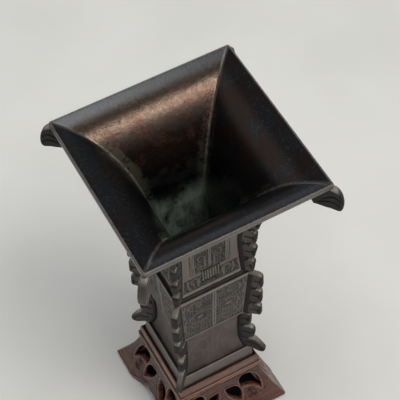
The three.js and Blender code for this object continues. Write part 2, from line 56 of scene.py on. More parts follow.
rimHalf, rimZ = span("mouth_section")[1][[0, 2]]
bellyZ, shoulderZ = [end[2] for end in span("belly_section")]
footLow, footHigh = span("foot_section")
seatZ, footHalf = footLow[2], footHigh[0]
toeHalf, apronTopZ = span("apron_right")[1][[0, 2]]
railTopZ = span("top_rail_right")[1][2]


# Curves and distances

def bezier(a, b, c, d, count):  # cubic curve from a to d, drawn towards b and c
    t = np.linspace(0, 1, count)[:, None]
    a, b, c, d = (np.array(p, float) for p in (a, b, c, d))
    return (1 - t) ** 3 * a + 3 * (1 - t) ** 2 * t * b + 3 * (1 - t) * t ** 2 * c + t ** 3 * d


def corner(a, b, c, count=6):  # a rounded corner at b, from a towards c
    t = np.linspace(0, 1, count)[:, None]
    a, b, c = (np.array(p, float) for p in (a, b, c))
    return (1 - t) ** 2 * a + 2 * (1 - t) * t * b + t ** 2 * c


def arc(cx, cz, rx, rz, start, end, count):  # part of an ellipse
    t = np.radians(np.linspace(start, end, count))
    return np.column_stack([cx + rx * np.cos(t), cz + rz * np.sin(t)])


def flowing(points, perSpan=8):  # smooth Catmull-Rom curve through the points
    p = np.array(points, float)
    p = np.vstack([2 * p[0] - p[1], p, 2 * p[-1] - p[-2]])
    t = np.linspace(0, 1, perSpan, endpoint=False)[None, :, None]
    a, b, c, d = (p[i:len(p) - 3 + i][:, None, :] for i in range(4))
    bend = 2 * b + (c - a) * t + (2 * a - 5 * b + 4 * c - d) * t ** 2 + (3 * b - a - 3 * c + d) * t ** 3
    return np.vstack([0.5 * bend.reshape(-1, 2), p[-2]])


def runAlong(line):  # length of the line from its start to each of its points
    return np.concatenate([[0], np.cumsum(np.hypot(*np.diff(line, axis=0).T))])


def evenly(line, step):  # the same line with points about one step apart
    line = np.array(line, float)
    run = runAlong(line)
    at = np.linspace(0, run[-1], max(2, int(round(run[-1] / step)) + 1))
    return np.column_stack([np.interp(at, run, line[:, 0]), np.interp(at, run, line[:, 1])])


def smooth(low, high, value):  # 0 below low, 1 above high, an S between
    t = np.clip((value - low) / (high - low), 0, 1)
    return t * t * (3 - 2 * t)


def fading(low, high, value):  # the reverse: 1 below low, 0 above high
    return 1 - smooth(low, high, value)


def framed(*depths, ramp=0.35):  # 1 well inside all borders, 0 outside any; each depth is measured from one
    return np.prod([smooth(0, ramp, depth) for depth in depths], axis=0)


def raised(distance, width, soft=0.22):  # 1 on a line of that width, falling away at its sides
    return fading(width / 2 - soft, width / 2 + soft, distance)


def nearLine(x, z, line):  # shortest distance from each grid point to a line of points
    best = np.full(np.shape(x), np.inf)
    for (ax, az), (bx, bz) in zip(line[:-1], line[1:]):
        ex, ez = bx - ax, bz - az
        t = np.clip(((x - ax) * ex + (z - az) * ez) / (ex * ex + ez * ez + 1e-12), 0, 1)
        best = np.minimum(best, (x - ax - t * ex) ** 2 + (z - az - t * ez) ** 2)
    return np.sqrt(best)


def depthIn(x, z, outline):  # signed distance to a closed outline, positive inside it
    ring = np.vstack([outline, outline[:1]])
    within = np.zeros(np.shape(x), bool)
    for (ax, az), (bx, bz) in zip(ring[:-1], ring[1:]):
        if az != bz:
            within ^= ((az > z) != (bz > z)) & (x < ax + (z - az) * (bx - ax) / (bz - az))
    return np.where(within, 1, -1) * nearLine(x, z, ring)


def roundEdge(depth, radius):  # a quarter circle at the edge: how far the face lies below its full height
    inward = np.clip(depth, 0, radius)
    return radius - np.sqrt(radius ** 2 - (radius - inward) ** 2)


def facing(quarters):  # outwards and to the left of it, after so many quarter turns from +X
    c, s = np.cos(quarters * np.pi / 2), np.sin(quarters * np.pi / 2)
    return np.array([c, s, 0]), np.array([-s, c, 0])


# Meshes

def makePiece(name, points, faces, finish, body, nodes, fields, grain=None, crease=None):
    mesh = bpy.data.meshes.new(name)
    mesh.from_pydata((points * mm).tolist(), [], faces)
    mesh.polygons.foreach_set("use_smooth", np.ones(len(mesh.polygons), bool))
    for key, values in fields.items():
        layer = mesh.attributes.new(key, "FLOAT", "POINT")
        layer.data.foreach_set("value", np.asarray(values, np.float32).ravel())
    if grain is not None:
        ends = np.empty(len(mesh.loops), np.int32)
        mesh.loops.foreach_get("vertex_index", ends)
        layer = mesh.uv_layers.new(name="grain")
        layer.data.foreach_set("uv", grain[ends].astype(np.float32).ravel())
    if crease is not None:
        mesh.set_sharp_from_angle(angle=np.radians(crease))
    mesh.materials.append(finish)
    mesh.update()
    piece = bpy.data.objects.new(name, mesh)
    bpy.context.scene.collection.objects.link(piece)
    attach(piece, body)
    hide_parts(*nodes)


def gridFaces(rows, columns, ring=True):
    # Quads of a grid whose last row joins the first, and in a ring its last column too
    i, j = np.meshgrid(np.arange(rows), np.arange(columns if ring else columns - 1), indexing="ij")
    up, on = (i + 1) % rows, (j + 1) % columns
    ends = [i * columns + j, i * columns + on, up * columns + on, up * columns + j]
    return np.stack(ends, -1).reshape(-1, 4).tolist()


def squareColumns(perFace, perCorner):
    # A ring's point is (half - radius) * core + radius * arm, on the flats and round the corners alike
    across = np.linspace(-1, 1, perFace)
    turn = np.linspace(0, np.pi / 2, perCorner + 2)[1:-1]
    core = np.vstack([np.column_stack([np.ones(perFace), across]), np.ones((perCorner, 2))])
    arm = np.vstack([np.tile([1.0, 0.0], (perFace, 1)), np.column_stack([np.cos(turn), np.sin(turn)])])
    return [np.vstack([part @ turned.T for turned in quarterTurns]) for part in (core, arm)]


def allRound(faceField, perCorner):  # a field of one face carried round the four, blended over the corners
    share = np.linspace(0, 1, perCorner + 2)[1:-1]
    ends = faceField[:, -1:] * (1 - share) + faceField[:, :1] * share
    return np.tile(np.hstack([faceField, ends]), (1, 4))


def squareLoft(line, radius, lift, perFace, perCorner):
    # A profile of half width against height carried round a square, each point moved by lift along the
    # profile's normal, which is the line's direction turned a quarter to the right
    half, z = line.T
    ahead = np.roll(line, -1, 0) - np.roll(line, 1, 0)
    ahead /= np.hypot(*ahead.T)[:, None] + 1e-9
    core, arm = squareColumns(perFace, perCorner)
    flat = (half - radius)[:, None, None] * core + radius[:, None, None] * arm
    flat = flat + (lift * ahead[:, 1:])[..., None] * arm
    high = z[:, None] - lift * ahead[:, :1]
    return np.concatenate([flat, high[..., None]], -1).reshape(-1, 3)


arrisWear = dict(reach=(0.2, 1.4), share=0.35)


def plainFace(line, radius, s, wearAndHighlight=arrisWear):
    # For each point of a face: distance from its middle, relief-and-shade level 1, a little rub at the
    # upright corners and distance from the corner
    half = line[:, :1]
    across = np.linspace(-1, 1, s["perFace"]) * (half - radius[:, None])
    fromCorner = half - np.abs(across)
    edge = fading(*wearAndHighlight["reach"], fromCorner) * wearAndHighlight["share"]
    return across, np.ones(across.shape), edge, fromCorner


def shellPiece(name, node, finish, line, radius, lift, fields, s):  # a closed profile carried round the vase
    perFace, perCorner = s["perFace"], s["perCorner"]
    points = squareLoft(line, radius, allRound(lift, perCorner), perFace, perCorner)
    fields = {key: allRound(values, perCorner) for key, values in fields.items()}
    faces = gridFaces(len(line), 4 * (perFace + perCorner))
    makePiece(name, points, faces, finish, "vase", [node], fields)


def cutPlate(depth, low, high, step):
    # A flat sheet cut to depth > 0: one point per grid cell that the shape touches, at the middle of a full
    # cell and on the edge in a cut one, and one quad round each grid node inside the shape. The faces are
    # those of the front, then of a back with as many points, then of the wall between them
    x, z = np.meshgrid(*[np.arange(a - step, b + 2 * step, step) for a, b in zip(low, high)], indexing="ij")
    value = depth(x, z)
    solid = value > 0
    here, on = slice(None, -1), slice(1, None)
    ends = [(here, here), (on, here), (on, on), (here, on)]  # the four nodes of every cell
    count = sum(solid[end].astype(int) for end in ends)
    used = count > 0
    middle = np.stack([sum(grid[end] for end in ends) / 4 for grid in (x, z)], -1)
    total, crossings = np.zeros(middle.shape), np.zeros(count.shape)
    for a, b in zip(ends, ends[1:] + ends[:1]):
        cut = solid[a] != solid[b]
        t = np.where(cut, value[a] / (value[a] - value[b] + 1e-12), 0)
        total += cut[..., None] * np.stack([grid[a] + t * (grid[b] - grid[a]) for grid in (x, z)], -1)
        crossings += cut
    rim = used & (count < 4)
    flat = np.where(rim[..., None], total / np.maximum(crossings, 1)[..., None], middle)
    name = np.cumsum(used).reshape(used.shape) - 1
    flat, rim = flat[used], rim[used]
    tiny, flattest = step * 0.05, 0.3
    for pull in range(3):  # the edge points slide onto the outline
        p = flat[rim]
        there = depth(*p.T)
        slope = np.stack([depth(*(p + move).T) - there for move in tiny * np.eye(2)], -1) / tiny
        flat[rim] = p - slope * (there / np.maximum((slope ** 2).sum(-1), flattest))[:, None]
    inner = solid[1:-1, 1:-1]
    around = np.stack([name[end] for end in ends], -1)
    quads = around[inner]
    sides = []
    for k, (di, dj) in enumerate([(1, 0), (0, 1), (-1, 0), (0, -1)]):
        beyond = np.roll(solid, (-di, -dj), (0, 1))[1:-1, 1:-1]
        sides.append(around[inner & ~beyond][:, [(k + 1) % 4, (k + 2) % 4]])
    start, end = np.vstack(sides).T
    wall = np.column_stack([end, start, start + len(flat), end + len(flat)])
    return flat, np.vstack([quads, quads[:, ::-1] + len(flat), wall]).tolist()


# Materials

class Wire:  # one socket of a material, so that maths on it is written as maths
    def __init__(self, tree, socket=None):
        self.tree = tree
        self.socket = socket

    def node(self, kind, settings=None, links=None, output=0):  # any node: settings first, then its sockets
        made = self.tree.nodes.new(kind)
        for key, value in (settings or {}).items():
            setattr(made, key, value)
        for key, value in (links or {}).items():
            if isinstance(value, Wire):
                self.tree.links.new(value.socket, made.inputs[key])
            else:
                made.inputs[key].default_value = value
        return Wire(self.tree, made.outputs[output] if made.outputs else None)

    def maths(self, operation, first, second=0):
        return self.node("ShaderNodeMath", {"operation": operation}, {0: first, 1: second})

    def __add__(self, other):
        return self.maths("ADD", self, other)

    def __sub__(self, other):
        return self.maths("SUBTRACT", self, other)

    def __rsub__(self, other):
        return self.maths("SUBTRACT", other, self)

    def __mul__(self, other):
        return self.maths("MULTIPLY", self, other)

    def __abs__(self):
        return self.maths("ABSOLUTE", self)

    __radd__ = __add__
    __rmul__ = __mul__

    def within(self, low, high):  # 0 below low, 1 above high, an S between
        return self.node("ShaderNodeMapRange", {"interpolation_type": "SMOOTHSTEP"},
                         {"Value": self, "From Min": low, "From Max": high})

    def fading(self, low, high):  # the reverse: 1 below low, 0 above high
        return 1 - self.within(low, high)

    def above(self, least):  # from 0 to 1 made from least to 1
        return self * (1 - least) + least

    def tint(self, first, second):  # from the first colour to the second as this value goes from 0 to 1
        return self.node("ShaderNodeMix", {"data_type": "RGBA"}, {0: self, 6: first, 7: second}, 2)

    def noise(self, scale, detail, rough):
        return self.node("ShaderNodeTexNoise", {}, {"Vector": self, "Scale": scale, "Detail": detail,
                                                    "Roughness": rough})

    def field(self, key):  # a value that the mesh carries
        return self.node("ShaderNodeAttribute", {"attribute_name": key}, {}, "Fac")

    def stretched(self, scale):
        return self.node("ShaderNodeMapping", {}, {"Vector": self, "Scale": scale})

    def part(self, axis):  # one axis of a vector
        return self.node("ShaderNodeSeparateXYZ", {}, {0: self}, axis)

    def bump(self, strength, distance):
        return self.node("ShaderNodeBump", {}, {"Strength": strength, "Distance": distance, "Height": self})


def newFinish(name, uvName=None):  # a blank material, and the place its patterns read
    material = bpy.data.materials.new(name)
    material.use_nodes = True
    material.node_tree.nodes.clear()
    wire = Wire(material.node_tree)
    if uvName:
        return material, wire, wire.node("ShaderNodeUVMap", {"uv_map": uvName})
    return material, wire, wire.node("ShaderNodeTexCoord", {}, {}, "Object")


def surface(wire, sockets):
    shader = wire.node("ShaderNodeBsdfPrincipled", {}, sockets)
    wire.node("ShaderNodeOutputMaterial", {}, {"Surface": shader})


# A noise is its scale, detail and roughness. A pair is where a noise, a field or a height starts and ends
bronzeTones = dict(
    dark=(0.068, 0.062, 0.061, 1), brown=(0.140, 0.122, 0.118, 1), olive=(0.086, 0.089, 0.070, 1),
    wornAndLit=(0.400, 0.360, 0.320, 1), grimeAndShade=(0.011, 0.010, 0.010, 1), rosy=(0.165, 0.114, 0.100, 1),
    clouds=(70, 4, 0.6), stains=(38, 3, 0.55), specks=(2600, 2, 0.5), grains=(900, 3, 0.6),
    drift=(430, 2, 0.5), cloudy=(0.36, 0.66), stained=(0.5, 0.68), speckled=(0.52, 0.72), rubbed=(0.1, 0.5),
    chased=(-0.4, 0.8), hollow=(0.1, 0.75), grimeAndShadeSpan=(0.0, 1.1), chase=3400, swirl=16, stainShare=0.6,
    speckShare=0.25, rosyShare=0.75, hollowAndShadeShare=0.9, chaseShare=0.6, roughness=0.42, grainRough=0.25,
    grimeAndShadeRough=0.2, wornAndLitRough=0.08, metal=0.85, grimeAndShadeMetal=0.4, wornAndLitMetal=0.5, bump=0.3, bumpDepth=0.0002,
    speckBump=0.6)
liningTones = dict(
    dark=(0.060, 0.045, 0.039, 1), copper=(0.295, 0.214, 0.164, 1), grey=(0.180, 0.184, 0.184, 1),
    slate=(0.062, 0.066, 0.073, 1), bruise=(0.080, 0.054, 0.045, 1), rust=(0.150, 0.048, 0.028, 1),
    umber=(0.029, 0.023, 0.021, 1), olive=(0.050, 0.057, 0.034, 1), deepDark=(0.007, 0.009, 0.015, 1),
    green=(0.330, 0.400, 0.335, 1), dust=(0.200, 0.205, 0.205, 1),
    mottle=(420, 4, 0.65), flecks=(2200, 2, 0.5), patches=(85, 3, 0.55), streaks=(1.0, 5, 0.7),
    streakScale=(190, 190, 60), farSeam=(-0.001, 0.001), rightSeam=(0.0, 0.004), coppery=(0.30, 0.70),
    mottleShare=0.35, fleckShare=0.65, rimFrom=(0.2215, 0.2245), dusty=(0.52, 0.72), dustShare=0.6,
    bruised=(0.42, 0.58), bruiseFrom=(0.196, 0.206), bruiseShare=0.8, smudged=(0.48, 0.66), smudgeShare=0.5,
    umberTo=(0.2035, 0.2195), umberShare=0.65, rustFlecks=(0.3, 0.7), rustLeast=0.3, rusty=(0.38, 0.64),
    rustFrom=(0.192, 0.202), rustTo=(0.2165, 0.2205), rustShare=0.6, rustDull=0.45, nooks=(0.25, 0.85),
    nookTo=(0.208, 0.2165), nookSide=(0.004, 0.016), nookLeast=0.4, mottled=(0.24, 0.66),
    mossTo=(0.186, 0.204), mossy=(0.42, 0.6), mossShare=0.5, oliveFrom=(0.05, 0.9), oliveShare=0.9,
    deepDarkTo=(0.182, 0.202), deepDarkNooks=(0.5, 1.0), deepDarkLeast=0.3, deepDarkShare=0.8, greenTo=(0.160, 0.178),
    greenRight=0.8, streaky=(0.28, 0.70), streakLeast=0.3, greenShare=0.9, dulled=(0.1, 0.9), roughness=0.20,
    fleckRough=0.12, dullRough=0.3, metal=0.9, dullMetal=0.55)


def lining(wire, place, grains, s=liningTones):
    # Grey at the rim, coppery below it on the far wall and slate on the others, partly patina and partly a
    # painted stand-in for the window's reflection, which shows on the far wall alone; then rust and umber,
    # with olive in the nooks, near-black further down and green in the depth. Gives the colour, its dullness
    # and flecks
    mottle, flecks, patches = [place.noise(*s[key]) for key in ("mottle", "flecks", "patches")]
    streaks = place.stretched(s["streakScale"]).noise(*s["streaks"])
    nook, across, back, height = wire.field("nook"), *[place.part(axis) for axis in "XYZ"]
    farWall = (back - abs(across)).within(*s["farSeam"])
    rightWall = (across - abs(back)).within(*s["rightSeam"])
    colour = (mottle * s["mottleShare"] + flecks * s["fleckShare"]).within(*s["coppery"])
    colour = height.within(*s["rimFrom"]).tint(colour.tint(s["dark"], s["copper"]), s["grey"])
    bruise = rightWall * patches.within(*s["bruised"]) * height.within(*s["bruiseFrom"])
    smudge = (1 - rightWall) * patches.within(*s["smudged"])
    otherWallTone = (grains.within(*s["dusty"]) * s["dustShare"]).tint(s["slate"], s["dust"])
    otherWallTone = (bruise * s["bruiseShare"] + smudge * s["smudgeShare"]).tint(otherWallTone, s["bruise"])
    # only the far wall keeps the coppery mottle, partly patina and partly painted for the window's reflection
    colour = farWall.tint(otherWallTone, colour)
    colour = (height.fading(*s["umberTo"]) * s["umberShare"]).tint(colour, s["umber"])
    rust = farWall * flecks.within(*s["rustFlecks"]).above(s["rustLeast"]) * patches.within(*s["rusty"])
    rust = rust * height.within(*s["rustFrom"]) * height.fading(*s["rustTo"])
    colour = (rust * s["rustShare"]).tint(colour, s["rust"])
    olive = nook.within(*s["nooks"]) * height.fading(*s["nookTo"]) * mottle.within(*s["mottled"])
    moss = height.fading(*s["mossTo"]) * patches.within(*s["mossy"]) * s["mossShare"]
    olive = olive * across.fading(*s["nookSide"]).above(s["nookLeast"]) + moss
    colour = (olive.within(*s["oliveFrom"]) * s["oliveShare"]).tint(colour, s["olive"])
    # darker further down inside, less so in the nooks
    deepDark = height.fading(*s["deepDarkTo"]) * nook.fading(*s["deepDarkNooks"]).above(s["deepDarkLeast"])
    colour = (deepDark * s["deepDarkShare"]).tint(colour, s["deepDark"])
    green = height.fading(*s["greenTo"]) * (1 - rightWall * s["greenRight"])
    green = green * streaks.within(*s["streaky"]).above(s["streakLeast"])
    colour = (green * s["greenShare"]).tint(colour, s["green"])
    return colour, (olive + green + rust * s["rustDull"]).within(*s["dulled"]), flecks


def bronzeFinish(name, lined=False, s=bronzeTones, inner=liningTones):
    # Brown clouds, olive stains and pale specks, with grime in the hollows, painted shade on the shelf and
    # the step, and bare metal where it is rubbed, with painted highlights on seams, creases and the teeth's
    # tops
    material, wire, place = newFinish(name)
    noises = ("clouds", "stains", "specks", "grains", "drift")
    clouds, stains, specks, grains, drift = [place.noise(*s[key]) for key in noises]
    colour = clouds.within(*s["cloudy"]).tint(s["dark"], s["brown"])
    colour = (stains.within(*s["stained"]) * s["stainShare"]).tint(colour, s["olive"])
    colour = (specks.within(*s["speckled"]) * s["speckShare"]).tint(colour, s["wornAndLit"])
    colour = (wire.field("rosy") * s["rosyShare"]).tint(colour, s["rosy"])
    # bare metal where it is rubbed, and painted highlights where the mesh marks them
    wearAndHighlight = wire.field("edge") * grains.within(*s["rubbed"])
    run = (place.part("X") + place.part("Y")) * s["chase"] + drift * s["swirl"]
    lines = wire.maths("SINE", run).within(*s["chased"]) * wire.field("chased")
    # darker where the mesh's level is low: grime in the carving's hollows and painted shade on the shelf and
    # step
    grimeAndShade = wire.field("reliefAndShade").fading(*s["hollow"]) * s["hollowAndShadeShare"] + lines * s["chaseShare"]
    grimeAndShade = grimeAndShade.within(*s["grimeAndShadeSpan"])
    rough = s["roughness"] + (grains - 0.5) * s["grainRough"]
    metal = s["metal"] - grimeAndShade * s["grimeAndShadeMetal"] - wearAndHighlight * s["wornAndLitMetal"]
    colour = grimeAndShade.tint(colour, s["grimeAndShade"])
    if lined:
        inside = wire.field("inside")
        patina, dull, flecks = lining(wire, place, grains)
        colour = inside.tint(colour, patina)
        rougher = (flecks - 0.5) * inner["fleckRough"] + dull * inner["dullRough"]
        rough = rough + inside * (rougher + (inner["roughness"] - s["roughness"]))
        metal = metal + inside * (inner["metal"] - s["metal"] - dull * inner["dullMetal"])
    surface(wire, {
        "Base Color": wearAndHighlight.tint(colour, s["wornAndLit"]), "Metallic": metal,
        "Roughness": rough + grimeAndShade * s["grimeAndShadeRough"] - wearAndHighlight * s["wornAndLitRough"],
        "Normal": (grains + specks * s["speckBump"] - lines).bump(s["bump"], s["bumpDepth"])})
    return material


woodTones = dict(
    dark=(0.036, 0.008, 0.005, 1), mid=(0.105, 0.026, 0.015, 1), warm=(0.250, 0.078, 0.040, 1),
    wornAndLit=(0.520, 0.290, 0.205, 1), shadow=(0.006, 0.003, 0.004, 1), bandScale=(22, 210, 60),
    bands=(1.0, 4, 0.6), fibreScale=(120, 2600, 900), fibres=(1.0, 3, 0.6), banded=(0.34, 0.68),
    fibrous=(0.45, 0.75), fibreShare=0.65, hollow=(0.0, 0.8), hollowAndShadeShare=0.8, rubbed=(0.25, 0.55),
    wornAndLitShare=0.65, roughness=0.27, fibreRough=0.25, bump=0.25, bumpDepth=0.0002, coat=0.3,
    coatRoughness=0.22)


def woodFinish(name, grained=True, s=woodTones):  # dark bands and warm fibres along the grain
    material, wire, place = newFinish(name, "grain" if grained else None)
    bands = place.stretched(s["bandScale"]).noise(*s["bands"])
    fibres = place.stretched(s["fibreScale"]).noise(*s["fibres"])
    colour = bands.within(*s["banded"]).tint(s["dark"], s["mid"])
    colour = (fibres.within(*s["fibrous"]) * s["fibreShare"]).tint(colour, s["warm"])
    if grained:
        # shadow colour where the mesh's level is low: the carving's and rail's grooves, and painted shade on
        # the aprons' backs
        colour = (wire.field("reliefAndShade").fading(*s["hollow"]) * s["hollowAndShadeShare"]).tint(colour, s["shadow"])
        # wear, and painted highlight on the rail's beads and brow and towards the aprons' toes
        colour = (wire.field("edge") * bands.within(*s["rubbed"]) * s["wornAndLitShare"]).tint(colour, s["wornAndLit"])
    surface(wire, {
        "Base Color": colour, "Roughness": s["roughness"] + (fibres - 0.5) * s["fibreRough"],
        "Normal": fibres.bump(s["bump"], s["bumpDepth"]), "Coat Weight": s["coat"],
        "Coat Roughness": s["coatRoughness"]})
    return material


liningBronze = bronzeFinish("bronze_lined", lined=True)
castBronze = bronzeFinish("bronze_cast")
standWood = woodFinish("wood_carved")
plainWood = woodFinish("wood_plain", grained=False)
print("materials made")


# Low relief on the faces of the vase

fretCoil = np.array([(0.08, 0.08), (0.92, 0.08), (0.92, 0.86), (0.2, 0.86), (0.2, 0.34), (0.66, 0.34),
                     (0.66, 0.62), (0.42, 0.62)])
carvingTool = dict(  # the fine line along a stroke, the echo beside it, the eyes and the fret
    fine=(0.36, 0.14), echoOff=0.85, echoLine=0.6, dome=1.15, pupil=0.8, pupilDepth=0.6, ringAt=1.4,
    ringLine=0.6, ringHigh=0.8, eyeClear=1.55, fretFrom=(0.15, 0.5), crest=(0.75, 1.0))


def keyFret(x, z, size):  # distance to the line of a square spiral in each tile, every other tile mirrored
    u, v = x / size, z / size
    i, j = np.floor(u), np.floor(v)
    u, v = u - i, v - j
    u = np.where((i + j) % 2 == 0, u, 1 - u)
    return nearLine(u, v, fretCoil) * size


def carved(x, z, work, t=carvingTool):
    # Highest of the raised strokes, each with a fine line cut along it, over a ground of key fret
    x = np.abs(x)
    top, gap = np.zeros(x.shape), np.full(x.shape, np.inf)
    for width, points in work["strokes"]:
        away = nearLine(x, z, flowing(points))
        top = np.maximum(top, raised(away, width) - work["chase"] * raised(away, *t["fine"]))
        top = np.maximum(top, work["echo"] * raised(np.abs(away - width / 2 - t["echoOff"]), t["echoLine"]))
        gap = np.minimum(gap, away - width / 2)
    for cx, cz, rx, rz in work.get("eyes", []):
        off = np.hypot((x - cx) / rx, (z - cz) / rz)
        pupil = raised(np.hypot(x - cx, z - cz), t["pupil"])
        dome = np.sqrt(np.clip(1 - off ** 2, 0, 1)) * t["dome"] - t["pupilDepth"] * pupil
        ring = raised(np.abs(off - t["ringAt"]) * rz, t["ringLine"])
        top = np.maximum(top, np.maximum(dome, ring * t["ringHigh"]))
        gap = np.minimum(gap, (off - t["eyeClear"]) * rz)
    fret = raised(keyFret(x, z, work["fret"]), work["fretLine"]) * smooth(*t["fretFrom"], gap)
    return np.maximum(top, fret * work["ground"])


def carvedPanel(rows, shape, field, work, reliefAndShade, chased, lift, edge, t=carvingTool):
    # Sinks the ground of a panel below its crests, darkens it, and lightens the crests with wear and painted
    # highlight
    reliefAndShade[rows] = work["shade"] + (1 - work["shade"]) * shape
    chased[rows] = field
    lift[rows] = (shape - 1) * work["depth"]
    edge[rows] = np.maximum(edge[rows], smooth(*t["crest"], shape) * field * work["wearAndHighlight"])


bellyCarving = dict(
    depth=0.5, ground=0.5, chase=0.45, wearAndHighlight=0.45, shade=0.36, echo=0.55, fret=2.5, fretLine=0.72, border=1.8,
    sideBorder=2.8, lowHalf=17.7, highHalf=19.6, high=39.0, eyes=[(8.6, 20.5, 2.8, 1.7)],
    shares=[  # stroke widths, and points as shares of the panel's half width and height
        (2.4, [(0, 0.04), (0, 0.96)]),
        (0.8, [(0.125, 0.05), (0.125, 0.95)]),
        (1.3, [(0.18, 0.67), (0.5, 0.66), (0.79, 0.78), (0.78, 0.89), (0.64, 0.94), (0.46, 0.89), (0.45, 0.8),
               (0.56, 0.79)]),
        (1.3, [(0.18, 0.58), (0.48, 0.61), (0.74, 0.55), (0.82, 0.44)]),
        (1.3, [(0.17, 0.38), (0.42, 0.34), (0.66, 0.35), (0.76, 0.41)]),
        (1.3, [(0.17, 0.24), (0.44, 0.2), (0.68, 0.22), (0.78, 0.3)]),
        (1.1, [(0.2, 0.14), (0.34, 0.12), (0.4, 0.06)]),
        (1.1, [(0.18, 0.84), (0.28, 0.9), (0.26, 0.96)]),
        (1.3, [(0.93, 0.58), (0.97, 0.76), (0.9, 0.94)]),
        (1.3, [(0.93, 0.49), (0.97, 0.32), (0.9, 0.15), (0.7, 0.08)]),
    ])


def bellyRelief(x, z, half, work=bellyCarving):  # z is measured from the foot of the belly
    low, high, border = work["lowHalf"], work["high"], work["border"]
    place = lambda a, b: (a * (low + (work["highHalf"] - low) * b), border + b * high)
    strokes = [(width, [place(*point) for point in points]) for width, points in work["shares"]]
    shape = carved(x, z, dict(work, strokes=strokes))
    field = framed(z - border, border + high - z, half - work["sideBorder"] - np.abs(x))
    return 1 + field * (shape - 1), field


neckCarving = dict(
    depth=0.5, ground=0.5, chase=0.4, wearAndHighlight=0.5, shade=0.22, echo=0, fret=2.5, fretLine=0.72, bandLow=1.8,
    bandHigh=12.4, sideBorder=2.8, leafHalf=12.0, leafLow=14.2, leafStraight=40.2, leafTip=70.2, leafLine=0.7,
    leafInset=1.0, combHalf=5.6, combLow=5.4, combHigh=14.2, combPitch=1.5, combLine=0.8, combRamp=0.6,
    combClear=0.8, combProud=1.1,
    strokes=[
        (1.3, [(7.6, 3.2), (7.4, 9.4), (10.0, 10.6), (11.6, 8.4), (10.0, 6.4)]),
        (1.3, [(12.2, 3.0), (13.4, 6.6), (13.2, 10.6)]),
        (1.5, [(0, 16.8), (0, 62.2)]),
        (1.5, [(9.6, 15.3), (9.6, 36.6), (7.4, 48.9), (2.9, 61.2)]),
        (1.1, [(2.6, 18), (2.9, 26), (5.6, 29), (7.0, 25.6), (5.2, 23.6)]),
        (1.1, [(2.2, 34), (4.6, 36.4), (6.0, 41), (3.6, 45)]),
    ])


def neckRelief(x, z, half, work=neckCarving):  # z is measured upwards from the shoulder
    shape = carved(x, z, work)
    side, pitch = np.abs(x), work["combPitch"]
    taper = np.clip((z - work["leafStraight"]) / (work["leafTip"] - work["leafStraight"]), 0, 1)
    leaf = work["leafHalf"] * (1 - taper ** 2) - side  # the leaf narrows as one less the square of the height
    inLeaf = framed(leaf, z - work["leafLow"]) * (z < work["leafTip"])
    rib = raised(np.abs(leaf - work["leafInset"]), work["leafLine"]) * (z > work["leafLow"])
    shape = np.maximum(shape, rib)
    inBand = framed(z - work["bandLow"], work["bandHigh"] - z, half - work["sideBorder"] - side)
    aboveFoot, belowHead = z - work["combLow"], work["combHigh"] - z
    tooth = raised(np.abs((x / pitch + 0.5) % 1 - 0.5) * pitch, work["combLine"])
    comb = tooth * framed(aboveFoot, belowHead, ramp=work["combRamp"]) * work["combProud"]
    inComb = framed(work["combHalf"] - side, aboveFoot + work["combClear"], belowHead + work["combClear"])
    shape = shape + inComb * (comb - shape)
    field = np.maximum(np.maximum(inLeaf, inBand), inComb)
    return 1 + field * (shape - 1), field


stemCarving = dict(
    depth=0.14, ground=0.0, chase=0.2, echo=0, fret=3.2, fretLine=0.8,
    strokes=[
        (1.2, [(0, 6), (0, 33)]),
        (1.1, [(3.0, 8), (3.2, 20), (6.0, 27), (9.6, 26), (10.4, 21), (8.0, 18.6), (6.4, 21)]),
        (1.1, [(6.2, 7), (6.6, 13), (9.6, 15.5), (12.6, 13), (12.2, 8.4), (9.6, 8.2)]),
        (1.1, [(13.2, 18), (13.4, 27), (10.6, 31.4), (5.0, 32.4)]),
    ])


# Mouth section: neck, trumpet, lip and the inside, one closed profile carried round the square

mouthShape = dict(
    neckHalf=19.7, waistHalf=18.2, neckHeight=27.3, neckRise=0.3, neckSwell=0.4, wall=2.0, spigotHeight=4.0,
    spigotStep=0.9, flareRise=29.0, flareReach=20.6, flareFall=4.8, lipHeight=3.2, lipOverhang=1.6,
    lipThickness=1.2, rimRadius=1.2, arris=0.8, perFace=92, perCorner=4, reliefStep=0.45, plainStep=1.6,
    liningStep=2.3, throatStep=3.0, rosyTo=(60, 80), rosyShare=0.6, borderTo=(40, 60), borderWear=0.2,
    seamHighlight=0.9, lipWear=0.25, lipEdgeWear=0.45, crease=(0.3, 1.2), creaseFrom=(-80, -25), creaseHighlight=0.55,
    nook=(1.0, 10.0))


def flareLine(s, wall, halfEnd, zEnd, count):  # the trumpet: up from the waist, then out to the lip
    waist, waistZ = s["waistHalf"] - wall, shoulderZ + s["neckHeight"]
    return bezier((waist, waistZ), (waist, waistZ + s["flareRise"]),
                  (halfEnd - s["flareReach"], zEnd - s["flareFall"]), (halfEnd, zEnd), count)


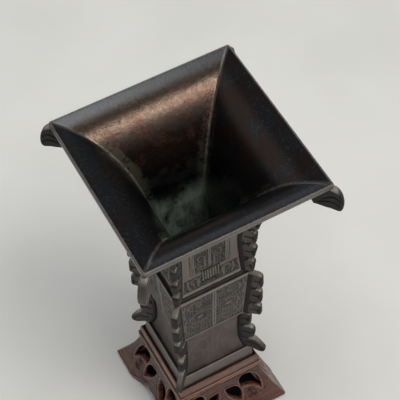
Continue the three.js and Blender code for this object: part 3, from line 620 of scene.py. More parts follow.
def mouthPiece(s=mouthShape, work=neckCarving):
    neckHalf, waistHalf, neckHeight, wall = s["neckHalf"], s["waistHalf"], s["neckHeight"], s["wall"]
    waistZ, lipZ, under = shoulderZ + neckHeight, rimZ - s["lipHeight"], rimHalf - s["lipOverhang"]
    neck = bezier((neckHalf, shoulderZ + s["neckRise"]),
                  (waistHalf + s["neckSwell"], shoulderZ + neckHeight / 3),
                  (waistHalf, waistZ - neckHeight / 4), (waistHalf, waistZ), 30)
    whole = np.vstack([neck, flareLine(s, 0, under, lipZ, 120)[1:]])
    plain = whole[:, 1] > shoulderZ + work["leafTip"]
    outside = np.vstack([evenly(whole[~plain], s["reliefStep"]), evenly(whole[plain], s["plainStep"])])
    lip = flowing([(under + 0.2, lipZ + 0.05), (rimHalf - 0.5, lipZ - 0.05), (rimHalf - 0.02, lipZ + 0.5),
                   (rimHalf, lipZ + 1.6), (rimHalf - 0.02, rimZ - 0.55), (rimHalf - 0.3, rimZ - 0.12),
                   (rimHalf - 0.8, rimZ - 0.02)], 4)
    flare = flareLine(s, wall, rimHalf - s["lipThickness"], rimZ - 0.1, 120)
    throat = evenly([(waistHalf - wall, waistZ - 1), (neckHalf - wall, shoulderZ),
                     (neckHalf - wall, shoulderZ - s["spigotHeight"])], s["throatStep"])
    spigotHalf = neckHalf - s["spigotStep"]
    spigot = [(spigotHalf, shoulderZ - s["spigotHeight"]), (spigotHalf, shoulderZ - 0.02),
              (neckHalf - 0.25, shoulderZ)]
    line = np.vstack([spigot, outside, lip, evenly(flare[::-1], s["liningStep"]), throat])
    first, last = len(spigot), len(spigot) + len(outside)
    lipEnd = last + len(lip)
    rows, panel = np.arange(len(line)), slice(first, last)
    radius = np.where((rows >= last - 2) & (rows < lipEnd), s["rimRadius"], s["arris"])
    across, reliefAndShade, edge, fromCorner = plainFace(line, radius, s)
    up = np.repeat(outside[:, 1:] - shoulderZ, s["perFace"], 1)
    shape, field = neckRelief(across[panel], up, line[panel, :1])
    chased, rosy, lift, inside = np.zeros((4, *across.shape))
    carvedPanel(panel, shape, field, work, reliefAndShade, chased, lift, edge)
    rosy[panel] = (1 - field) * fading(*s["rosyTo"], up) * s["rosyShare"]
    edge[panel] = np.maximum(edge[panel], (1 - field) * fading(*s["borderTo"], up) * s["borderWear"])
    edge[last:lipEnd] = (s["lipWear"] + s["lipEdgeWear"] * np.linspace(-1, 1, len(lip)) ** 4)[:, None]
    # a painted highlight line along the foot of the neck
    edge[first:first + 3] = s["seamHighlight"]
    # painted highlight along the inside creases, fading further down
    crease = fading(*s["crease"], fromCorner) * s["creaseHighlight"] * smooth(*s["creaseFrom"], line[:, 1:] - rimZ)
    edge[lipEnd:] = crease[lipEnd:]
    inside[lipEnd - 3:] = 1
    nook = fading(*s["nook"], fromCorner) * inside
    fields = dict(reliefAndShade=reliefAndShade, edge=edge, inside=inside, nook=nook, chased=chased, rosy=rosy)
    shellPiece("mouth_shell", "mouth_section", liningBronze, line, radius, lift, fields, s)


mouthPiece()
print("mouth made")


# Belly section

bellyShape = dict(
    lowHalf=20.5, topHalf=22.4, neckHalf=19.7, shoulderRise=2.0, wall=2.0, socketHalf=19.1, arris=0.8,
    soft=0.5, perFace=140, perCorner=4, step=0.31, insideStep=5.0, ledge=(0.7, 1.9), ledgeWear=0.62,
    rosyLedge=(0.6, 1.9), rosyShare=0.8, browWear=0.5, seamHighlight=0.9, shelfShade=0.5, seamShade=0.15,
    nook=(1.0, 7.0))


def bellyPiece(s=bellyShape, work=bellyCarving):
    low, top, neck, wall, soft = [s[key] for key in ("lowHalf", "topHalf", "neckHalf", "wall", "soft")]
    topZ = shoulderZ - s["shoulderRise"]
    outside = evenly([(low, bellyZ + soft), (top, topZ - soft)], s["step"])
    shoulder = flowing([(top - 0.1, topZ - 0.12), (top - soft, topZ + 0.16), (top - 1.2, topZ + 0.25),
                        (neck + 0.7, topZ + 0.4), (neck + 0.35, shoulderZ - 0.9),
                        (neck + 0.2, shoulderZ - 0.25), (neck - 0.05, shoulderZ),
                        (s["socketHalf"], shoulderZ)], 3)
    inside = evenly([(s["socketHalf"], shoulderZ - wall), (top - wall, topZ - wall), (low - wall, bellyZ)],
                    s["insideStep"])
    foot = [(low - soft, bellyZ), (low - 0.15, bellyZ + 0.15)]
    line = np.vstack([outside, shoulder, inside, foot])
    count, shelf = len(outside), len(outside) + len(shoulder)
    panel = slice(count)
    radius = np.full(len(line), s["arris"])
    across, reliefAndShade, edge, fromCorner = plainFace(line, radius, s)
    up = np.repeat(outside[:, 1:] - bellyZ, s["perFace"], 1)
    shape, field = bellyRelief(across[panel], up, line[panel, :1])
    chased, rosy, lift, lined = np.zeros((4, *across.shape))
    carvedPanel(panel, shape, field, work, reliefAndShade, chased, lift, edge)
    reliefAndShade[count + 6:shelf - 10] = s["shelfShade"]  # the shelf, then the dark seam at the foot of the neck
    reliefAndShade[shelf - 10:shelf - 6] = s["seamShade"]
    nearEnd = np.minimum(outside[:, 1:] - bellyZ, topZ - outside[:, 1:])
    edge[panel] = np.maximum(edge[panel], fading(*s["ledge"], nearEnd) * s["ledgeWear"])
    edge[count:count + 4] = s["browWear"]
    # the same painted highlight line, on the belly's side of the seam
    edge[shelf - 6:shelf - 2] = s["seamHighlight"]
    edge[shelf:] = 0
    lined[shelf:] = 1
    nook = fading(*s["nook"], fromCorner) * lined
    rosy[panel] = fading(*s["rosyLedge"], nearEnd) * s["rosyShare"]
    fields = dict(reliefAndShade=reliefAndShade, edge=edge, inside=lined, nook=nook, chased=chased, rosy=rosy)
    shellPiece("belly_shell", "belly_section", liningBronze, line, radius, lift, fields, s)


bellyPiece()
print("belly made")


# Foot section: band, concave stem and tenon

footShape = dict(
    bandTopHalf=22.4, bandHeight=11.5, stemFootHalf=20.5, waistHalf=17.5, stemTopHalf=18.2, cove=15.0,
    wall=2.0, tenon=4.0, arris=0.8, soft=0.45, perFace=84, perCorner=4, step=0.6, insideStep=2.0,
    stepShade=0.65, stepWear=0.6, strokeWear=0.08, bandWear=0.22, rosy=0.45, chased=0.25)


def stemLine(s, inset, count):  # in from the foot band, then up the hollow of the stem to the belly
    bandZ = seatZ + s["bandHeight"]
    waist = s["waistHalf"] - inset
    return bezier((s["stemFootHalf"] - inset, bandZ), (waist, bandZ + s["cove"] / 3),
                  (waist, bandZ + s["cove"]), (s["stemTopHalf"] - inset, bellyZ), count)


def footPiece(s=footShape, work=stemCarving):
    keys = ("bandTopHalf", "stemFootHalf", "stemTopHalf", "wall", "soft")
    bandHalf, stemHalf, topHalf, wall, soft = [s[key] for key in keys]
    bandZ, tenonZ = seatZ + s["bandHeight"], bellyZ + s["tenon"]
    band = evenly([(footHalf - 0.1, seatZ + 0.3), (bandHalf, bandZ - soft)], s["step"])
    step = flowing([(bandHalf - 0.1, bandZ - 0.1), (bandHalf - soft, bandZ), (stemHalf + 0.4, bandZ),
                    (stemHalf - 0.15, bandZ + 0.25)], 3)
    stem = evenly(stemLine(s, 0, 60)[3:], s["step"])
    inside = evenly(stemLine(s, wall, 40)[::-1], s["insideStep"])
    line = np.vstack([band, step, stem, [(topHalf, tenonZ), (topHalf - wall, tenonZ)], inside,
                      [(footHalf - wall, seatZ), (footHalf - 0.3, seatZ)]])
    radius = np.full(len(line), s["arris"])
    across, reliefAndShade, edge = plainFace(line, radius, s)[:3]
    stepRow, first = len(band), len(band) + len(step)
    last = first + len(stem)
    shape = carved(across[first:last], np.repeat(stem[:, 1:] - bandZ, s["perFace"], 1), work)
    chased, rosy, lift = np.zeros((3, *across.shape))
    lift[first:last] = shape * work["depth"]
    reliefAndShade[stepRow + 4:first + 2] = s["stepShade"]
    edge[stepRow - 1:stepRow + 3] = s["stepWear"]
    edge[first:last] = np.maximum(edge[first:last], shape * s["strokeWear"])
    edge[:stepRow] = np.maximum(edge[:stepRow], s["bandWear"])
    edge[last:] = 0
    rosy[:stepRow] = s["rosy"]
    rosy[first:last] = s["rosy"]
    chased[first:last] = s["chased"]
    fields = dict(reliefAndShade=reliefAndShade, edge=edge, rosy=rosy, chased=chased)
    shellPiece("foot_shell", "foot_section", castBronze, line, radius, lift, fields, s)


footPiece()
print("foot made")


# Flanges and beaks: plates cut to an outline and stood on the diagonal at each corner

flangeShape = dict(
    thickness=3.6, root=2.0, notchWidth=3.2, notchDepth=3.6, toothRound=3.0, toothEase=2.0, edgeRound=0.9,
    groove=0.7, grooveDepth=0.5, grooveSoft=0.2, tick=1.7, markFrom=2.4, markInset=1.8, gapMark=1.2, step=0.3,
    tierGap=1.0, solder=0.3, thinnest=0.2)
flangeLook = dict(  # facing: the slopes that count; band and from: the distances over which they fade
    shade=0.45, wearAndHighlight=0.35, endDark=1.0, topHighlight=1.0, rootShade=0.15, endFacing=(0.6, 0.95), endBand=(0.4, 1.2),
    topFacing=(0.35, 0.85), topBand=(0.1, 0.6), edgeBand=(0.1, 0.8), edgeFrom=(1.5, 4.0), rootBand=(0.2, 1.4),
    blush={}, paintedLight={})


def combOutline(length, count, reachAt, headRound, footRise=0, s=flangeShape):
    # A comb of rounded teeth along a straight edge: x away from the edge, y along it
    pitch, ease, tick, inset = (length + s["notchWidth"]) / count, s["toothEase"], s["tick"], s["markInset"]
    parts, cuts = [[(-s["root"], 0)]], []
    for i in range(count):
        low, high = i * pitch, (i + 1) * pitch - s["notchWidth"]
        foot = low + footRise if i == 0 else low
        out, top = reachAt(low), reachAt(high)
        bend = headRound if i == count - 1 else s["toothRound"]
        parts.append(corner((out - ease, foot), (out, foot), (out, foot + ease)))
        parts.append(corner((top, high - bend), (top, high), (top - bend, high)))
        middle = (low + high) / 2
        mark = reachAt(middle) - inset
        cuts.append([(s["markFrom"], middle), (mark, middle)])
        cuts.append([(mark, middle - tick), (mark, middle + tick)])
        if i < count - 1:
            floor, gap = top - s["notchDepth"], high + s["notchWidth"] / 2
            parts.append([(floor, high), (floor, high + s["notchWidth"])])
            cuts.append([(s["gapMark"], gap), (floor, gap)])
            cuts.append([(s["gapMark"], gap - tick), (s["gapMark"], gap + tick)])
    parts.append([(-s["root"], length)])
    return np.vstack(parts), cuts


def flangePieces(prefix, node, outline, cuts, place, rootAt, taper=lambda flat: 1, look=None, shape=None):
    # Each face lies half a thickness off the diagonal plane, less the rounding at its edge and the cut lines
    look, s = dict(flangeLook, **(look or {})), dict(flangeShape, **(shape or {}))
    depthAt = lambda x, z: depthIn(x, z, outline)
    flat, faces = cutPlate(depthAt, outline.min(0), outline.max(0), s["step"])
    depth = np.maximum(depthAt(*flat.T), 0)
    lines = [raised(nearLine(*flat.T, np.array(line, float)), s["groove"], s["grooveSoft"]) for line in cuts]
    cut = np.max(lines, axis=0)
    full = s["thickness"] / 2 * taper(flat)
    most = full * (1 - s["thinnest"])
    high = full - np.minimum(roundEdge(depth, s["edgeRound"]), most) - cut * s["grooveDepth"]
    out, up = place(flat)
    proud = flat[:, 0] - rootAt(flat[:, 1])  # how far a point stands off the corner of the vase
    tiny = s["step"] * 0.2
    slopes = [depthAt(*(flat - move).T) - depthAt(*(flat + move).T) for move in tiny * np.eye(2)]
    outward, upward = [slope / (2 * tiny) for slope in slopes]
    outward = smooth(*look["endFacing"], outward) * fading(*look["endBand"], depth)
    upward = smooth(*look["topFacing"], upward) * fading(*look["topBand"], depth) * look["topHighlight"]
    wornAndLit = fading(*look["edgeBand"], depth) * look["wearAndHighlight"] * smooth(*look["edgeFrom"], proud) * (1 - outward)
    wornAndLit = np.maximum(wornAndLit, upward)  # the teeth's upward tops get painted highlight; their outward ends are darkened below
    clear = look["rootShade"] + (1 - look["rootShade"]) * smooth(*look["rootBand"], proud)
    reliefAndShade = look["shade"] * (1 - cut) * clear * (1 - outward * look["endDark"])
    reliefAndShade = np.maximum(reliefAndShade, upward)
    for k, name in enumerate(cornerNames):
        ahead, left = facing(k + 0.5)
        middle = out[:, None] * ahead + up[:, None] * upright
        points = np.vstack([middle - high[:, None] * left, middle + high[:, None] * left])
        # a listed corner is painted lighter: painted light on the near beak
        shown = np.maximum(reliefAndShade, look["paintedLight"].get(name, 0) * (1 - cut))
        fields = dict(reliefAndShade=np.tile(shown, 2), edge=np.tile(wornAndLit, 2))
        fields["rosy"] = np.full(len(points), look["blush"].get(name, 0))
        makePiece(prefix + "_" + name, points, faces, castBronze, "vase",
                  [node + "_" + name], fields)


def alongCorner(line):  # bends a straight comb along a corner of the vase, in the upright diagonal plane
    path = np.array(line)
    run = runAlong(path)
    ahead = np.gradient(path, run, axis=0)
    ahead /= np.hypot(*ahead.T)[:, None]

    def place(flat):
        at = np.clip(flat[:, 1], 0, run[-1])
        point = [np.interp(at, run, path[:, i]) for i in (0, 1)]
        way = [np.interp(at, run, ahead[:, i]) for i in (0, 1)]
        return point[0] + way[1] * flat[:, 0], point[1] - way[0] * flat[:, 0]

    return place, run, path


def asDrawn(flat):  # places a plate whose outline is already in the upright diagonal plane
    return flat.T


def atEdge(at):  # root of a comb that is drawn from a straight edge
    return 0 * at


neckFlange = dict(teeth=7, low=5.4, high=8.4, growth=27.3)
beakShape = dict(
    reach=5.8, drop=17.4, sole=9.0, lean=7.0, blunt=2.2, tip=1.0, browRise=0.3, inWall=1.0, slim=0.6,
    veins=[[(-4.6, 6.6), (-1, 9.6), (1.6, 9.8), (3.8, 7.4)],  # out from the rim's corner and up from the sole
           [(-6.4, 3.4), (-2, 5.6), (1.4, 5.6), (3.8, 3.6)]],
    shape=dict(thickness=4.4, edgeRound=1.2),
    # the beaks' edges carry wear and painted highlight; the front-left beak, the near one, gets painted light
    look=dict(shade=0.1, wearAndHighlight=0.6, endDark=0.4, topHighlight=0.1, blush=dict(front_left=0.4),
              paintedLight=dict(front_left=0.5)))
rimCorner = rimHalf * rootTwo - mouthShape["rimRadius"] * (rootTwo - 1)


def flareCorner(m=mouthShape, count=240):  # the trumpet's corner: distance along the diagonal, and height
    return flareLine(m, 0, rimHalf - m["lipOverhang"], rimZ - m["lipHeight"], count) * [rootTwo, 1]


def beakInnerEnd(z, s=beakShape, m=mouthShape, f=flangeShape):  # a slanted line from the sole up to the lip
    low, high = rimZ - s["drop"], rimZ - m["lipHeight"] - f["solder"]
    return rimCorner - s["sole"] - s["lean"] * (z - low) / (high - low)


def neckFlanges(s=neckFlange, m=mouthShape, f=flangeShape):
    line = np.vstack([[(m["neckHalf"] * rootTwo, shoulderZ + f["solder"])], flareCorner()])
    place, run, path = alongCorner(line)
    length = run[path[:, 0] < beakInnerEnd(path[:, 1])].max() - f["tierGap"]
    reach = lambda at: s["low"] + (s["high"] - s["low"]) * smooth(0, s["growth"], at)
    outline, cuts = combOutline(length, s["teeth"], reach, f["toothRound"])
    flangePieces("neck_comb", "neck_flange", outline, cuts, place, atEdge)


neckFlanges()

bellyFlange = dict(teeth=3, low=8.4, high=6.4, headRound=3.6, footRise=1.6)


def bellyFlanges(s=bellyFlange, b=bellyShape, f=flangeShape):
    place, run, path = alongCorner([(b["lowHalf"] * rootTwo, bellyZ + f["tierGap"] / 2),
                                    (b["topHalf"] * rootTwo, shoulderZ - b["shoulderRise"])])
    reach = lambda at: s["low"] + (s["high"] - s["low"]) * at / run[-1]
    outline, cuts = combOutline(run[-1], s["teeth"], reach, s["headRound"], s["footRise"])
    flangePieces("belly_comb", "belly_flange", outline, cuts, place, atEdge)


bellyFlanges()

footFlange = dict(
    toothHeight=10.8, toothReach=7.0, lobeReach=9.4, lobeRound=3.4, hookHeight=10.0, hookReach=15.6,
    hookDroop=2.4, hookDrop=0.2, inWall=1.2, markFrom=1.6, markStep=0.8, look=dict(shade=0.36))


def footFlanges(s=footFlange, b=footShape, f=flangeShape):
    # From the foot band up: a drooping hook, a round lobe and a square tooth, rooted inside the stem's wall
    waist, notch, tick = b["waistHalf"] * rootTwo, f["notchDepth"], f["tick"]
    hookLow = seatZ + b["bandHeight"] + f["solder"] - s["hookDrop"]
    hookHigh = hookLow + s["hookHeight"]
    toothHigh = bellyZ - f["tierGap"] / 2
    toothLow = toothHigh - s["toothHeight"]
    lobeLow, lobeHigh = hookHigh + f["notchWidth"] / 2, toothLow - f["notchWidth"]
    lobe, tooth, tip = waist + s["lobeReach"], waist + s["toothReach"], waist + s["hookReach"]
    tipLow, bend = hookLow - s["hookDroop"], f["toothRound"]
    band = b["bandTopHalf"] * rootTwo + f["solder"]
    ease, lobeRound = f["toothEase"], s["lobeRound"]
    lobeMid, toothMid = (lobeLow + lobeHigh) / 2, (toothLow + toothHigh) / 2
    arris = stemLine(b, 0, 60) * [rootTwo, 1]
    rootAt = lambda z: np.interp(z, arris[:, 1], arris[:, 0])
    wallZ = np.linspace(toothHigh, hookLow, 24)
    outline = np.vstack([
        corner((band, hookLow), ((band + tip) / 2, tipLow), (tip - bend, tipLow)),
        corner((tip - bend, tipLow), (tip, tipLow), (tip, tipLow + bend))[1:],
        corner((tip, tipLow + bend), (tip - bend, hookHigh - s["hookHeight"] / 3), (lobe, hookHigh), 10)[1:],
        [(lobe - notch, hookHigh), (lobe - notch, lobeLow)],
        corner((lobe - lobeRound, lobeLow), (lobe, lobeLow), (lobe, lobeMid)),
        corner((lobe, lobeMid), (lobe, lobeHigh), (lobe - lobeRound, lobeHigh))[1:],
        [(tooth - notch, lobeHigh), (tooth - notch, toothLow)],
        corner((tooth - ease, toothLow), (tooth, toothLow), (tooth, toothLow + ease)),
        corner((tooth, toothHigh - ease), (tooth, toothHigh), (tooth - ease, toothHigh)),
        np.column_stack([rootAt(wallZ) - s["inWall"], wallZ])])
    near, inset = waist + s["markFrom"], f["markInset"]
    start, toothMark = near + s["markStep"], tooth - inset
    gapHigh, gapLow = (lobeHigh + toothLow) / 2, (hookHigh + lobeLow) / 2
    cuts = [[(start, toothMid), (toothMark, toothMid)],
            [(toothMark, toothMid - tick), (toothMark, toothMid + tick)],
            [(near, gapHigh), (tooth - notch, gapHigh)],
            [(near, gapHigh - tick), (near, gapHigh + tick)],
            [(start, lobeMid), (lobe - inset, lobeMid)],
            [(near, gapLow), (lobe - notch, gapLow)],
            flowing([(near + 3, hookHigh - 4.0), (lobe - 1, hookHigh - 3.8), (tip - 3.6, hookHigh - 6.6),
                     (tip - 2.2, tipLow + 2.6)])]
    flangePieces("foot_hook", "foot_flange", outline, cuts, asDrawn, rootAt, look=s["look"])


footFlanges()


def mouthBeaks(s=beakShape, m=mouthShape):
    # Flat below, with a round brow that falls to a blunt tip, its root following the corner of the trumpet
    tip, low, lipZ = rimCorner + s["reach"], rimZ - s["drop"], rimZ - m["lipHeight"]
    tipLow, blunt = low - s["tip"], s["blunt"]
    root = flareCorner()
    root = root[root[:, 0] > beakInnerEnd(root[:, 1])] + [0, s["inWall"]]
    rootAt = lambda z: np.interp(z, root[:, 1], root[:, 0])
    brow = bezier((tip, low + blunt), (tip, low + s["drop"] / 2), (tip - s["reach"] / 2, lipZ),
                  (rimCorner, lipZ + s["browRise"]), 14)
    outline = np.vstack([
        [(beakInnerEnd(low), low), (rimCorner, low)],
        corner((tip - blunt, tipLow), (tip, tipLow), (tip, low + blunt)),
        brow[1:], root[::-1][::6], root[:1]])
    cuts = [flowing(np.array([rimCorner, low]) + vein) for vein in s["veins"]]
    slim = lambda flat: s["slim"] + (1 - s["slim"]) * smooth(rimCorner - s["sole"], rimCorner, flat[:, 0])
    flangePieces("mouth_hook", "mouth_beak", outline, cuts, asDrawn, rootAt, slim, s["look"], s["shape"])


mouthBeaks()
print("flanges and beaks made")


# Stand: moulded rails, mitred at the corners

railShape = dict(
    edgeHalf=26.7, neckHalf=25.8, foot=1.6, lowerBead=2.2, upperBead=1.8, groove=0.7, lip=0.5, recess=24.15,
    ledge=5.6, recessDepth=2.0, seat=4.0, soft=0.15, mitreGap=0.12, along=60, browWear=0.35, grooveShade=0.2,
    grainShift=70, crease=50)


def railPieces(s=railShape):
    # The section runs along each side; every point's run is as long as its own distance from the middle
    neck, recess, soft, columns = s["neckHalf"], s["recess"], s["soft"], s["along"]
    lowBead = apronTopZ + s["foot"]
    highBead = lowBead + s["lowerBead"] + s["groove"]
    browZ = highBead + s["upperBead"] + soft
    ledgeZ = railTopZ - s["recessDepth"] - s["seat"]
    bulge, brow, ledgeHalf = s["edgeHalf"] - neck, recess + s["lip"], recess - s["ledge"]
    line = np.vstack([
        [(ledgeHalf, apronTopZ), (neck - 0.2, apronTopZ), (neck, apronTopZ + 0.2)],
        arc(neck, lowBead + s["lowerBead"] / 2, bulge, s["lowerBead"] / 2, -90, 90, 13),
        arc(neck, highBead + s["upperBead"] / 2, bulge, s["upperBead"] / 2, -90, 90, 13),
        arc(brow, browZ, neck - brow, railTopZ - browZ, 0, 90, 14),
        [(recess + 0.12, railTopZ), (recess, railTopZ - soft), (recess, ledgeZ), (ledgeHalf, ledgeZ)]])
    half, z = line.T
    along = np.linspace(-1, 1, columns) * (half - s["mitreGap"])[:, None]
    starts = np.arange(len(line)) * columns
    caps = [starts.tolist(), (starts + columns - 1)[::-1].tolist()]
    faces = gridFaces(len(line), columns, ring=False) + caps
    edge, reliefAndShade = np.zeros(len(line)), np.ones(len(line))
    edge[3:29] = np.tile(np.sin(np.linspace(0, np.pi, 13)) ** 2, 2)  # wear and painted highlight on the two beads, then on the brow
    edge[30:42] = s["browWear"]
    reliefAndShade[[3, 15, 16, 28, 29]] = s["grooveShade"]
    fields = {key: np.repeat(values, columns) for key, values in dict(reliefAndShade=reliefAndShade, edge=edge).items()}
    run = np.repeat(runAlong(line)[:, None], columns, 1)
    for k, name in enumerate(sideNames):
        out, ahead = facing(k)
        points = half[:, None, None] * out + along[..., None] * ahead + z[:, None, None] * upright
        grain = np.stack([along + s["grainShift"] * k, run], -1).reshape(-1, 2) * mm
        makePiece("moulded_rail_" + name, points.reshape(-1, 3), faces, standWood, "stand",
                  ["top_rail_" + name], fields, grain, s["crease"])


railPieces()
print("rails made")


# Stand: flared aprons, pierced and carved

apronShape = dict(
    topHalf=26.0, thickness=3.2, bow=1.2, toeRound=2.4, toeRise=0.4, archWidth=50.0, archHeight=8.5,
    topBar=1.9, span=49.0, strut=5.2, mitreGap=0.12, mitreShare=0.9, toeBend=3.6, edgeRound=1.3,
    edgeDepth=0.9, backRound=0.4, step=0.36, vein=0.6, veinSoft=0.2, veinDepth=0.4, veinInset=1.9,
    volute=(18.2, 12.6, 3.6), voluteTurn=1.7, voluteStart=1.2, voluteCoil=0.27, voluteLine=0.9,
    voluteSoft=0.3, voluteDepth=0.75, voluteClear=0.6, voluteFrom=(0.3, 1.0), button=1.2, buttonHigh=0.4,
    hollow=(5.6, 9.6, 4.2, 2.0), hollowDepth=0.9, grainShift=60, grainRise=35, crease=65)
apronLook = dict(
    vein=0.7, hollow=0.6, back=0.3, edgeFrom=(0.2, 0.7), edgeTo=(0.9, 1.5), edgeWear=0.5, ridge=(0.0, 1.0),
    ridgeWear=0.6, toeFrom=(17, 30), toeTo=(6, 18), toeSheen=0.15)


def apronHoles(s):  # the crescent, the drop and half of the arch, drawn in shares of the pierced field
    inner, outer, rise = s["strut"] / 2, s["span"] / 2, s["archHeight"]
    x = lambda share: inner + (outer - inner) * share
    z = lambda share: rise + (apronTopZ - s["topBar"] - rise) * share
    at = lambda *pairs: [(x(a), z(b)) for a, b in pairs]
    crescent = np.vstack([
        bezier(*at((1, 0.22), (1.03, 0.68), (0.84, 1), (0.59, 1)), 12),
        bezier(*at((0.59, 1), (0.42, 1), (0.38, 0.78), (0.47, 0.56)), 10)[1:],
        bezier(*at((0.47, 0.56), (0.62, 0.55), (0.83, 0.52), (1, 0.22)), 10)[1:-1]])
    drop = np.vstack([
        bezier(*at((0.34, 0.14), (0.46, 0.3), (0.42, 0.64), (0.22, 0.74)), 12),
        at((0, 0.76)), bezier(*at((0, 0.76), (0, 0.5), (0.08, 0.36), (0.34, 0.14)), 10)[1:-1]])
    half, past = s["archWidth"] / 2, -4  # the arch is closed past the middle and below the floor
    arch = bezier((half, 0), (half * 0.6, rise * 0.1), (half * 0.4, rise), (0, rise), 16)
    return crescent, drop, np.vstack([[(half, past)], arch, [(past, rise), (past, past)]])


def apronPieces(s=apronShape, look=apronLook):
    third = (toeHalf - s["topHalf"]) / 3
    slope = bezier((toeHalf, s["toeRound"]), (toeHalf - third - s["bow"], apronTopZ / 3),
                   (s["topHalf"] + third - s["bow"], apronTopZ * 2 / 3), (s["topHalf"], apronTopZ), 40)
    underToe = corner((toeHalf - s["toeRound"] / 2, 0), (toeHalf, s["toeRise"]), slope[0])
    profile = np.vstack([underToe, slope[1:]])
    halfAt = lambda z: np.interp(z, profile[:, 1], profile[:, 0])
    holes = apronHoles(s)

    def cutDepth(along, high):  # how far inside the wood, from the sawn edges alone
        return np.min([-depthIn(np.abs(along), high, hole) for hole in holes], axis=0)

    def depth(along, high):  # the same, also from the mitres, the top and the toes' soles
        mitre = (halfAt(high) - s["mitreGap"] - np.abs(along)) * s["mitreShare"]
        bend = s["toeBend"]  # the toes' tips are rounded off: bend - distance from the middle of the rounding
        tip = bend - np.hypot(np.maximum(bend - mitre, 0), np.maximum(bend - high, 0))
        sole = np.where((mitre < bend) & (high < bend), tip, np.minimum(mitre, high))
        return np.minimum(np.minimum(cutDepth(along, high), sole), apronTopZ - high)

    flat, faces = cutPlate(depth, (-toeHalf, 0), (toeHalf, apronTopZ), s["step"])
    along, high = flat.T
    side, face = np.abs(along), halfAt(high)
    sawn = np.maximum(cutDepth(along, high), 0)
    vx, vz, radius = s["volute"]
    turn = np.linspace(0, s["voluteTurn"] * 2 * np.pi, 60)
    coilRadius, angle = radius - s["voluteCoil"] * turn, s["voluteStart"] + turn
    coil = np.column_stack([vx + coilRadius * np.cos(angle), vz + coilRadius * np.sin(angle)])
    inCoil = np.hypot(side - vx, high - vz)
    vein = raised(np.abs(sawn - s["veinInset"]), s["vein"], s["veinSoft"])
    vein = vein * smooth(radius, radius + s["voluteClear"], inCoil)
    scroll = raised(nearLine(side, high, coil), s["voluteLine"], s["voluteSoft"])
    scroll = scroll * smooth(*s["voluteFrom"], sawn)
    hx, hz, hw, hh = s["hollow"]
    scoop = smooth(0, 1, 1 - np.hypot((side - hx) / hw, (high - hz) / hh))
    button = np.clip(1 - inCoil / s["button"], 0, 1)
    carving = vein * s["veinDepth"] + scroll * s["voluteDepth"] + scoop * s["hollowDepth"]
    front = face - roundEdge(sawn, s["edgeRound"]) * s["edgeDepth"] - carving + button * s["buttonHigh"]
    back = face - s["thickness"] + roundEdge(sawn, s["backRound"])
    reliefAndShade = 1 - np.maximum(np.maximum(vein * look["vein"], scroll), scoop * look["hollow"])
    sawnEdge = (smooth(*look["edgeFrom"], sawn) - smooth(*look["edgeTo"], sawn)) * look["edgeWear"]
    # a painted sheen towards the toes
    toe = smooth(*look["toeFrom"], side) * fading(*look["toeTo"], high) * look["toeSheen"]
    edge = np.maximum(np.maximum(sawnEdge, fading(*look["ridge"], face - side) * look["ridgeWear"]), toe)
    # the back faces get a low level: painted shade inside the stand
    fields = dict(reliefAndShade=np.append(reliefAndShade, np.full(len(flat), look["back"])), edge=np.append(edge, 0 * edge))
    backAlong = np.clip(along, s["mitreGap"] - back, back - s["mitreGap"])
    rise = high[:, None] * upright
    for k, name in enumerate(sideNames):
        out, ahead = facing(k)
        points = np.vstack([along[:, None] * ahead + rise + front[:, None] * out,
                            backAlong[:, None] * ahead + rise + back[:, None] * out])
        grain = np.tile(np.column_stack([along + s["grainShift"] * k, high + s["grainRise"]]), (2, 1)) * mm
        makePiece("carved_apron_" + name, points, faces, standWood, "stand",
                  ["apron_" + name], fields, grain, s["crease"])


apronPieces()
print("aprons made")


# CAD nodes that stay, with their own finishes
plainNodes = dict.fromkeys(["seat_panel"] + ["corner_block_" + name for name in cornerNames], plainWood)
for name, finish in dict(plainNodes, vase_floor=castBronze).items():
    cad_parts[name].data.materials.clear()
    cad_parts[name].data.materials.append(finish)


# Floor, lights and camera

floorLook = dict(
    half=3.0, pale=(0.735, 0.735, 0.715, 1), shade=(0.690, 0.690, 0.668, 1), under=(0.014, 0.015, 0.020, 1),
    clouds=(9, 3, 0.5), cloudy=(0.35, 0.7), underEdge=(0.027, 0.033), roughness=0.9)


def makeFloor(s=floorLook):
    material, wire, place = newFinish("floor_pale")
    colour = place.noise(*s["clouds"]).within(*s["cloudy"]).tint(s["pale"], s["shade"])
    sides = [abs(place.part(axis)) for axis in "XY"]
    middle = wire.maths("MAXIMUM", *sides)  # distance from the middle, measured as on a square
    colour = middle.within(*s["underEdge"]).tint(s["under"], colour)  # the shade under the stand
    surface(wire, {"Base Color": colour, "Roughness": s["roughness"]})
    mesh = bpy.data.meshes.new("floor")
    h = s["half"]
    mesh.from_pydata([(-h, -h, 0), (h, -h, 0), (h, h, 0), (-h, h, 0)], [], [(0, 1, 2, 3)])
    mesh.materials.append(material)
    floor = bpy.data.objects.new("floor", mesh)
    bpy.context.scene.collection.objects.link(floor)


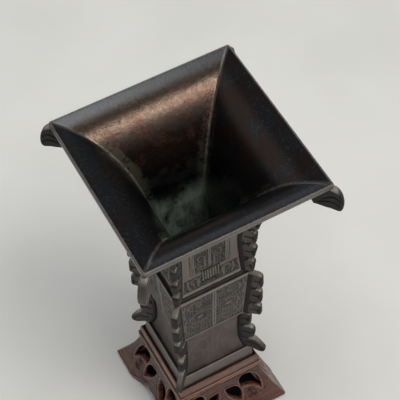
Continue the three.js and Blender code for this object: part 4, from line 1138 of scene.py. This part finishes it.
lights = dict(  # bearing right of the front and rise in degrees, distance, size, power, colour, shine or fill
    window=(33, 41, 1.6, (1.0, 0.40), 4.5, (1.0, 0.95, 0.88), "shine"),
    frontGlow=(12, 25, 1.8, (1.1, 0.45), 0.6, (0.95, 0.97, 1.0), "shine"),
    skylight=(90, 84, 1.7, (0.9, 0.65), 1.9, (0.92, 0.97, 1.0), "shine"),
    backWall=(160, 22, 2.0, (1.6, 0.6), 1.3, (0.95, 0.98, 1.0), "shine"),
    leftWall=(-125, 22, 2.0, (1.2, 1.2), 0.95, (1.0, 0.92, 0.86), "shine"),
    softbox=(24, 62, 2.2, (0.7, 0.7), 19.0, (1.0, 0.97, 0.92), "fill"),
    ceiling=(0, 89, 2.4, (1.8, 1.8), 49.0, (1.0, 1.0, 0.99), "fill"))
room = dict(tone=(0.055, 0.057, 0.062, 1), aim=(0, 0, 0.2))


def seenFrom(bearing, rise):  # unit vector towards a bearing to the right of the front and a rise, in degrees
    a, e = np.radians([bearing, rise])
    return np.array([np.sin(a) * np.cos(e), -np.cos(a) * np.cos(e), np.sin(e)])


def aimed(aim, back, away, roll=0):  # looks at aim from along back, turned about its own axis by roll
    level = np.cross(upright, back)
    level /= np.linalg.norm(level)
    rise = np.cross(back, level)
    c, s = np.cos(np.radians(roll)), np.sin(np.radians(roll))
    axes = np.column_stack([c * level + s * rise, c * rise - s * level, back, np.array(aim) + back * away])
    return Matrix(np.vstack([axes, [0, 0, 0, 1]]).tolist())


def makeLights(rows=lights, s=room):
    for name, (bearing, rise, away, size, power, colour, shows) in rows.items():
        data = bpy.data.lights.new(name, "AREA")
        data.shape = "RECTANGLE"
        data.size, data.size_y = size
        data.energy = power
        data.color = colour
        lamp = bpy.data.objects.new(name, data)
        lamp.matrix_world = aimed(s["aim"], seenFrom(bearing, rise), away)
        lamp.visible_glossy = shows == "shine"  # mirrored in the bronze, or only lighting the scene
        lamp.visible_diffuse = shows == "fill"
        bpy.context.scene.collection.objects.link(lamp)
    world = bpy.data.worlds.new("room")
    world.use_nodes = True
    world.node_tree.nodes["Background"].inputs["Color"].default_value = s["tone"]
    bpy.context.scene.world = world
    bpy.context.scene.view_settings.view_transform = "Standard"


cameraSpot = dict(
    azimuth=-26.66, elevation=55.2, roll=-2.56, distance=0.62, aim=(-0.0051, -0.0201, 0.2145), lens=118.8,
    sensor=36)


def makeCamera(s=cameraSpot):
    data = bpy.data.cameras.new("camera")
    data.lens = s["lens"]
    data.sensor_width = s["sensor"]
    camera = bpy.data.objects.new("camera", data)
    camera.matrix_world = aimed(s["aim"], seenFrom(s["azimuth"], s["elevation"]), s["distance"], s["roll"])
    bpy.context.scene.collection.objects.link(camera)
    bpy.context.scene.camera = camera


makeFloor()
makeLights()
makeCamera()
print("floor, lights and camera made")
